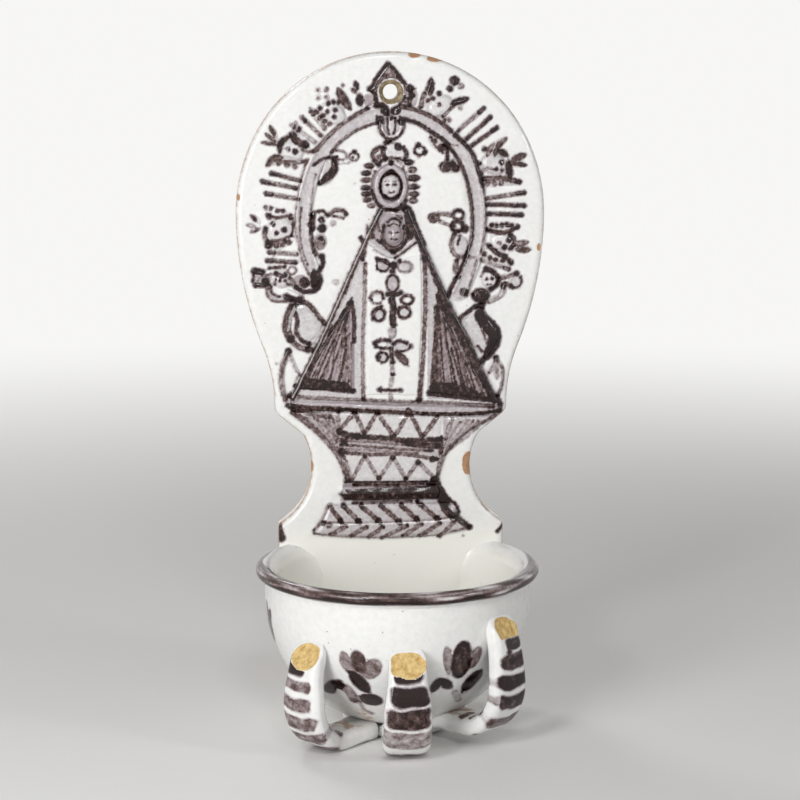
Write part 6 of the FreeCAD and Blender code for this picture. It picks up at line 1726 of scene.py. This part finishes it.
def makeRoot():    # the button where the three scrolls meet under the bowl
    depth = bowlProfile()[1]
    radius, thick, soft = bowl["foot"] + strap["rootMargin"], strap["rootThickness"], strap["rootRound"]
    profile = [(r, 0.0) for r in np.linspace(0, radius - 0.4, 8)]
    profile += [(radius - 0.1, -0.1), (radius, -0.4), (radius, soft - thick)]
    profile += arc((radius - soft, soft - thick), soft, 0, -90, 9)[1:]
    profile += [(r, -thick) for r in np.linspace(radius - soft, 0, 8)[1:]]
    middle = radius / 2
    tree, button = turned("rootButton", middle, strap["rootSteps"], bowl["rimTop"] - depth, {})
    section = polyline("rootSection", [(r - middle, -h) for r, h in profile])
    mesh = tree.grow("rootTurning", section, button, finish["striped_glaze"])
    facesOut(mesh)
    x, y, z = spotsOf(mesh).T
    worn = np.clip(0.5 + 0.6 * ripple(x, y, 12, 5), 0, 1) * (z < bowl["rimTop"] - depth - 3)
    return makePiece("scrollRoot", ["strap_root"], "striped_glaze", mesh, {"thinGlaze": worn})


makeRoot()
print("stage: scrolls bent")


# lamps are (x, y, z, width, height, power) in mm and watts, all turned to the aim
light = {
    "floor": (0.86, 0.855, 0.84, 1), "floorSize": 4, "floorRough": 0.6, "backdrop": (0.93, 0.925, 0.91, 1),
    "fill": 0.2, "fade": (330, 1100), "aim": (0, -20, -95),
    "lamps": ((-345, -690, 285, 130, 130, 1.1), (620, -430, 160, 130, 130, 0.9),
              (40, -760, 390, 170, 110, 0.9), (-480, -650, 10, 270, 400, 3.0),
              (-420, 760, 620, 320, 320, 2.2)),
}


def makeFloor():    # a pale floor that fades into the backdrop
    mesh = bpy.data.meshes.new("floor")
    size, ground = light["floorSize"], cadBox[0][2]
    corners = [(-size, -size, ground), (size, -size, ground), (size, size, ground), (-size, size, ground)]
    mesh.from_pydata(corners, [], [(0, 1, 2, 3)])
    board = Board("paleFloor")
    place = board.node("ShaderNodeTexCoord", out="Object")
    away = board.node("ShaderNodeVectorMath", {"operation": "LENGTH"}, place, out="Value")
    far = board.ramp(away, *(distance * mm for distance in light["fade"]))
    seen = board.larger(board.node("ShaderNodeLightPath", out="Is Camera Ray"),
                        board.node("ShaderNodeLightPath", out="Is Glossy Ray"))
    matt = board.node("ShaderNodeBsdfPrincipled", None, Base_Color=light["floor"],
                      Roughness=light["floorRough"])
    pale = board.node("ShaderNodeEmission", None, light["backdrop"], 1.0)
    mixed = board.node("ShaderNodeMixShader", None, seen * far, matt, pale)
    board.node("ShaderNodeOutputMaterial", None, mixed)
    mesh.materials.append(board.material)
    floor = bpy.data.objects.new("floor", mesh)
    bpy.context.collection.objects.link(floor)


def makeWorld():    # a bright room to the eye and in the gloss, a dim one as a light
    world = bpy.data.worlds.new("room")
    bpy.context.scene.world = world
    world.use_nodes = True
    nodes, links = world.node_tree.nodes, world.node_tree.links
    nodes.clear()
    path = nodes.new("ShaderNodeLightPath")
    shown, seen = nodes.new("ShaderNodeMath"), nodes.new("ShaderNodeMath")
    shown.operation = seen.operation = "MAXIMUM"
    links.new(path.outputs["Is Camera Ray"], shown.inputs[0])
    links.new(path.outputs["Is Glossy Ray"], shown.inputs[1])
    links.new(path.outputs["Is Transmission Ray"], seen.inputs[0])
    links.new(shown.outputs[0], seen.inputs[1])
    dim, bright = nodes.new("ShaderNodeBackground"), nodes.new("ShaderNodeBackground")
    mix, out = nodes.new("ShaderNodeMixShader"), nodes.new("ShaderNodeOutputWorld")
    dim.inputs["Color"].default_value = bright.inputs["Color"].default_value = light["backdrop"]
    dim.inputs["Strength"].default_value = light["fill"]
    bright.inputs["Strength"].default_value = 1.0
    links.new(seen.outputs[0], mix.inputs[0])
    links.new(dim.outputs[0], mix.inputs[1])
    links.new(bright.outputs[0], mix.inputs[2])
    links.new(mix.outputs[0], out.inputs[0])


def makeLamps():
    aim = Vector(light["aim"]) * mm
    for number, (x, y, z, wide, tall, power) in enumerate(light["lamps"]):
        lamp = bpy.data.lights.new(f"softLamp{number}", "AREA")
        lamp.shape, lamp.size, lamp.size_y, lamp.energy = "ELLIPSE", wide * mm, tall * mm, power
        holder = bpy.data.objects.new(lamp.name, lamp)
        holder.location = Vector((x, y, z)) * mm
        holder.rotation_euler = (aim - holder.location).to_track_quat("-Z", "Y").to_euler()
        holder.visible_camera = False
        bpy.context.collection.objects.link(holder)


makeFloor()
makeWorld()
makeLamps()
bpy.context.scene.view_settings.view_transform = "Standard"
print("stage: lit")
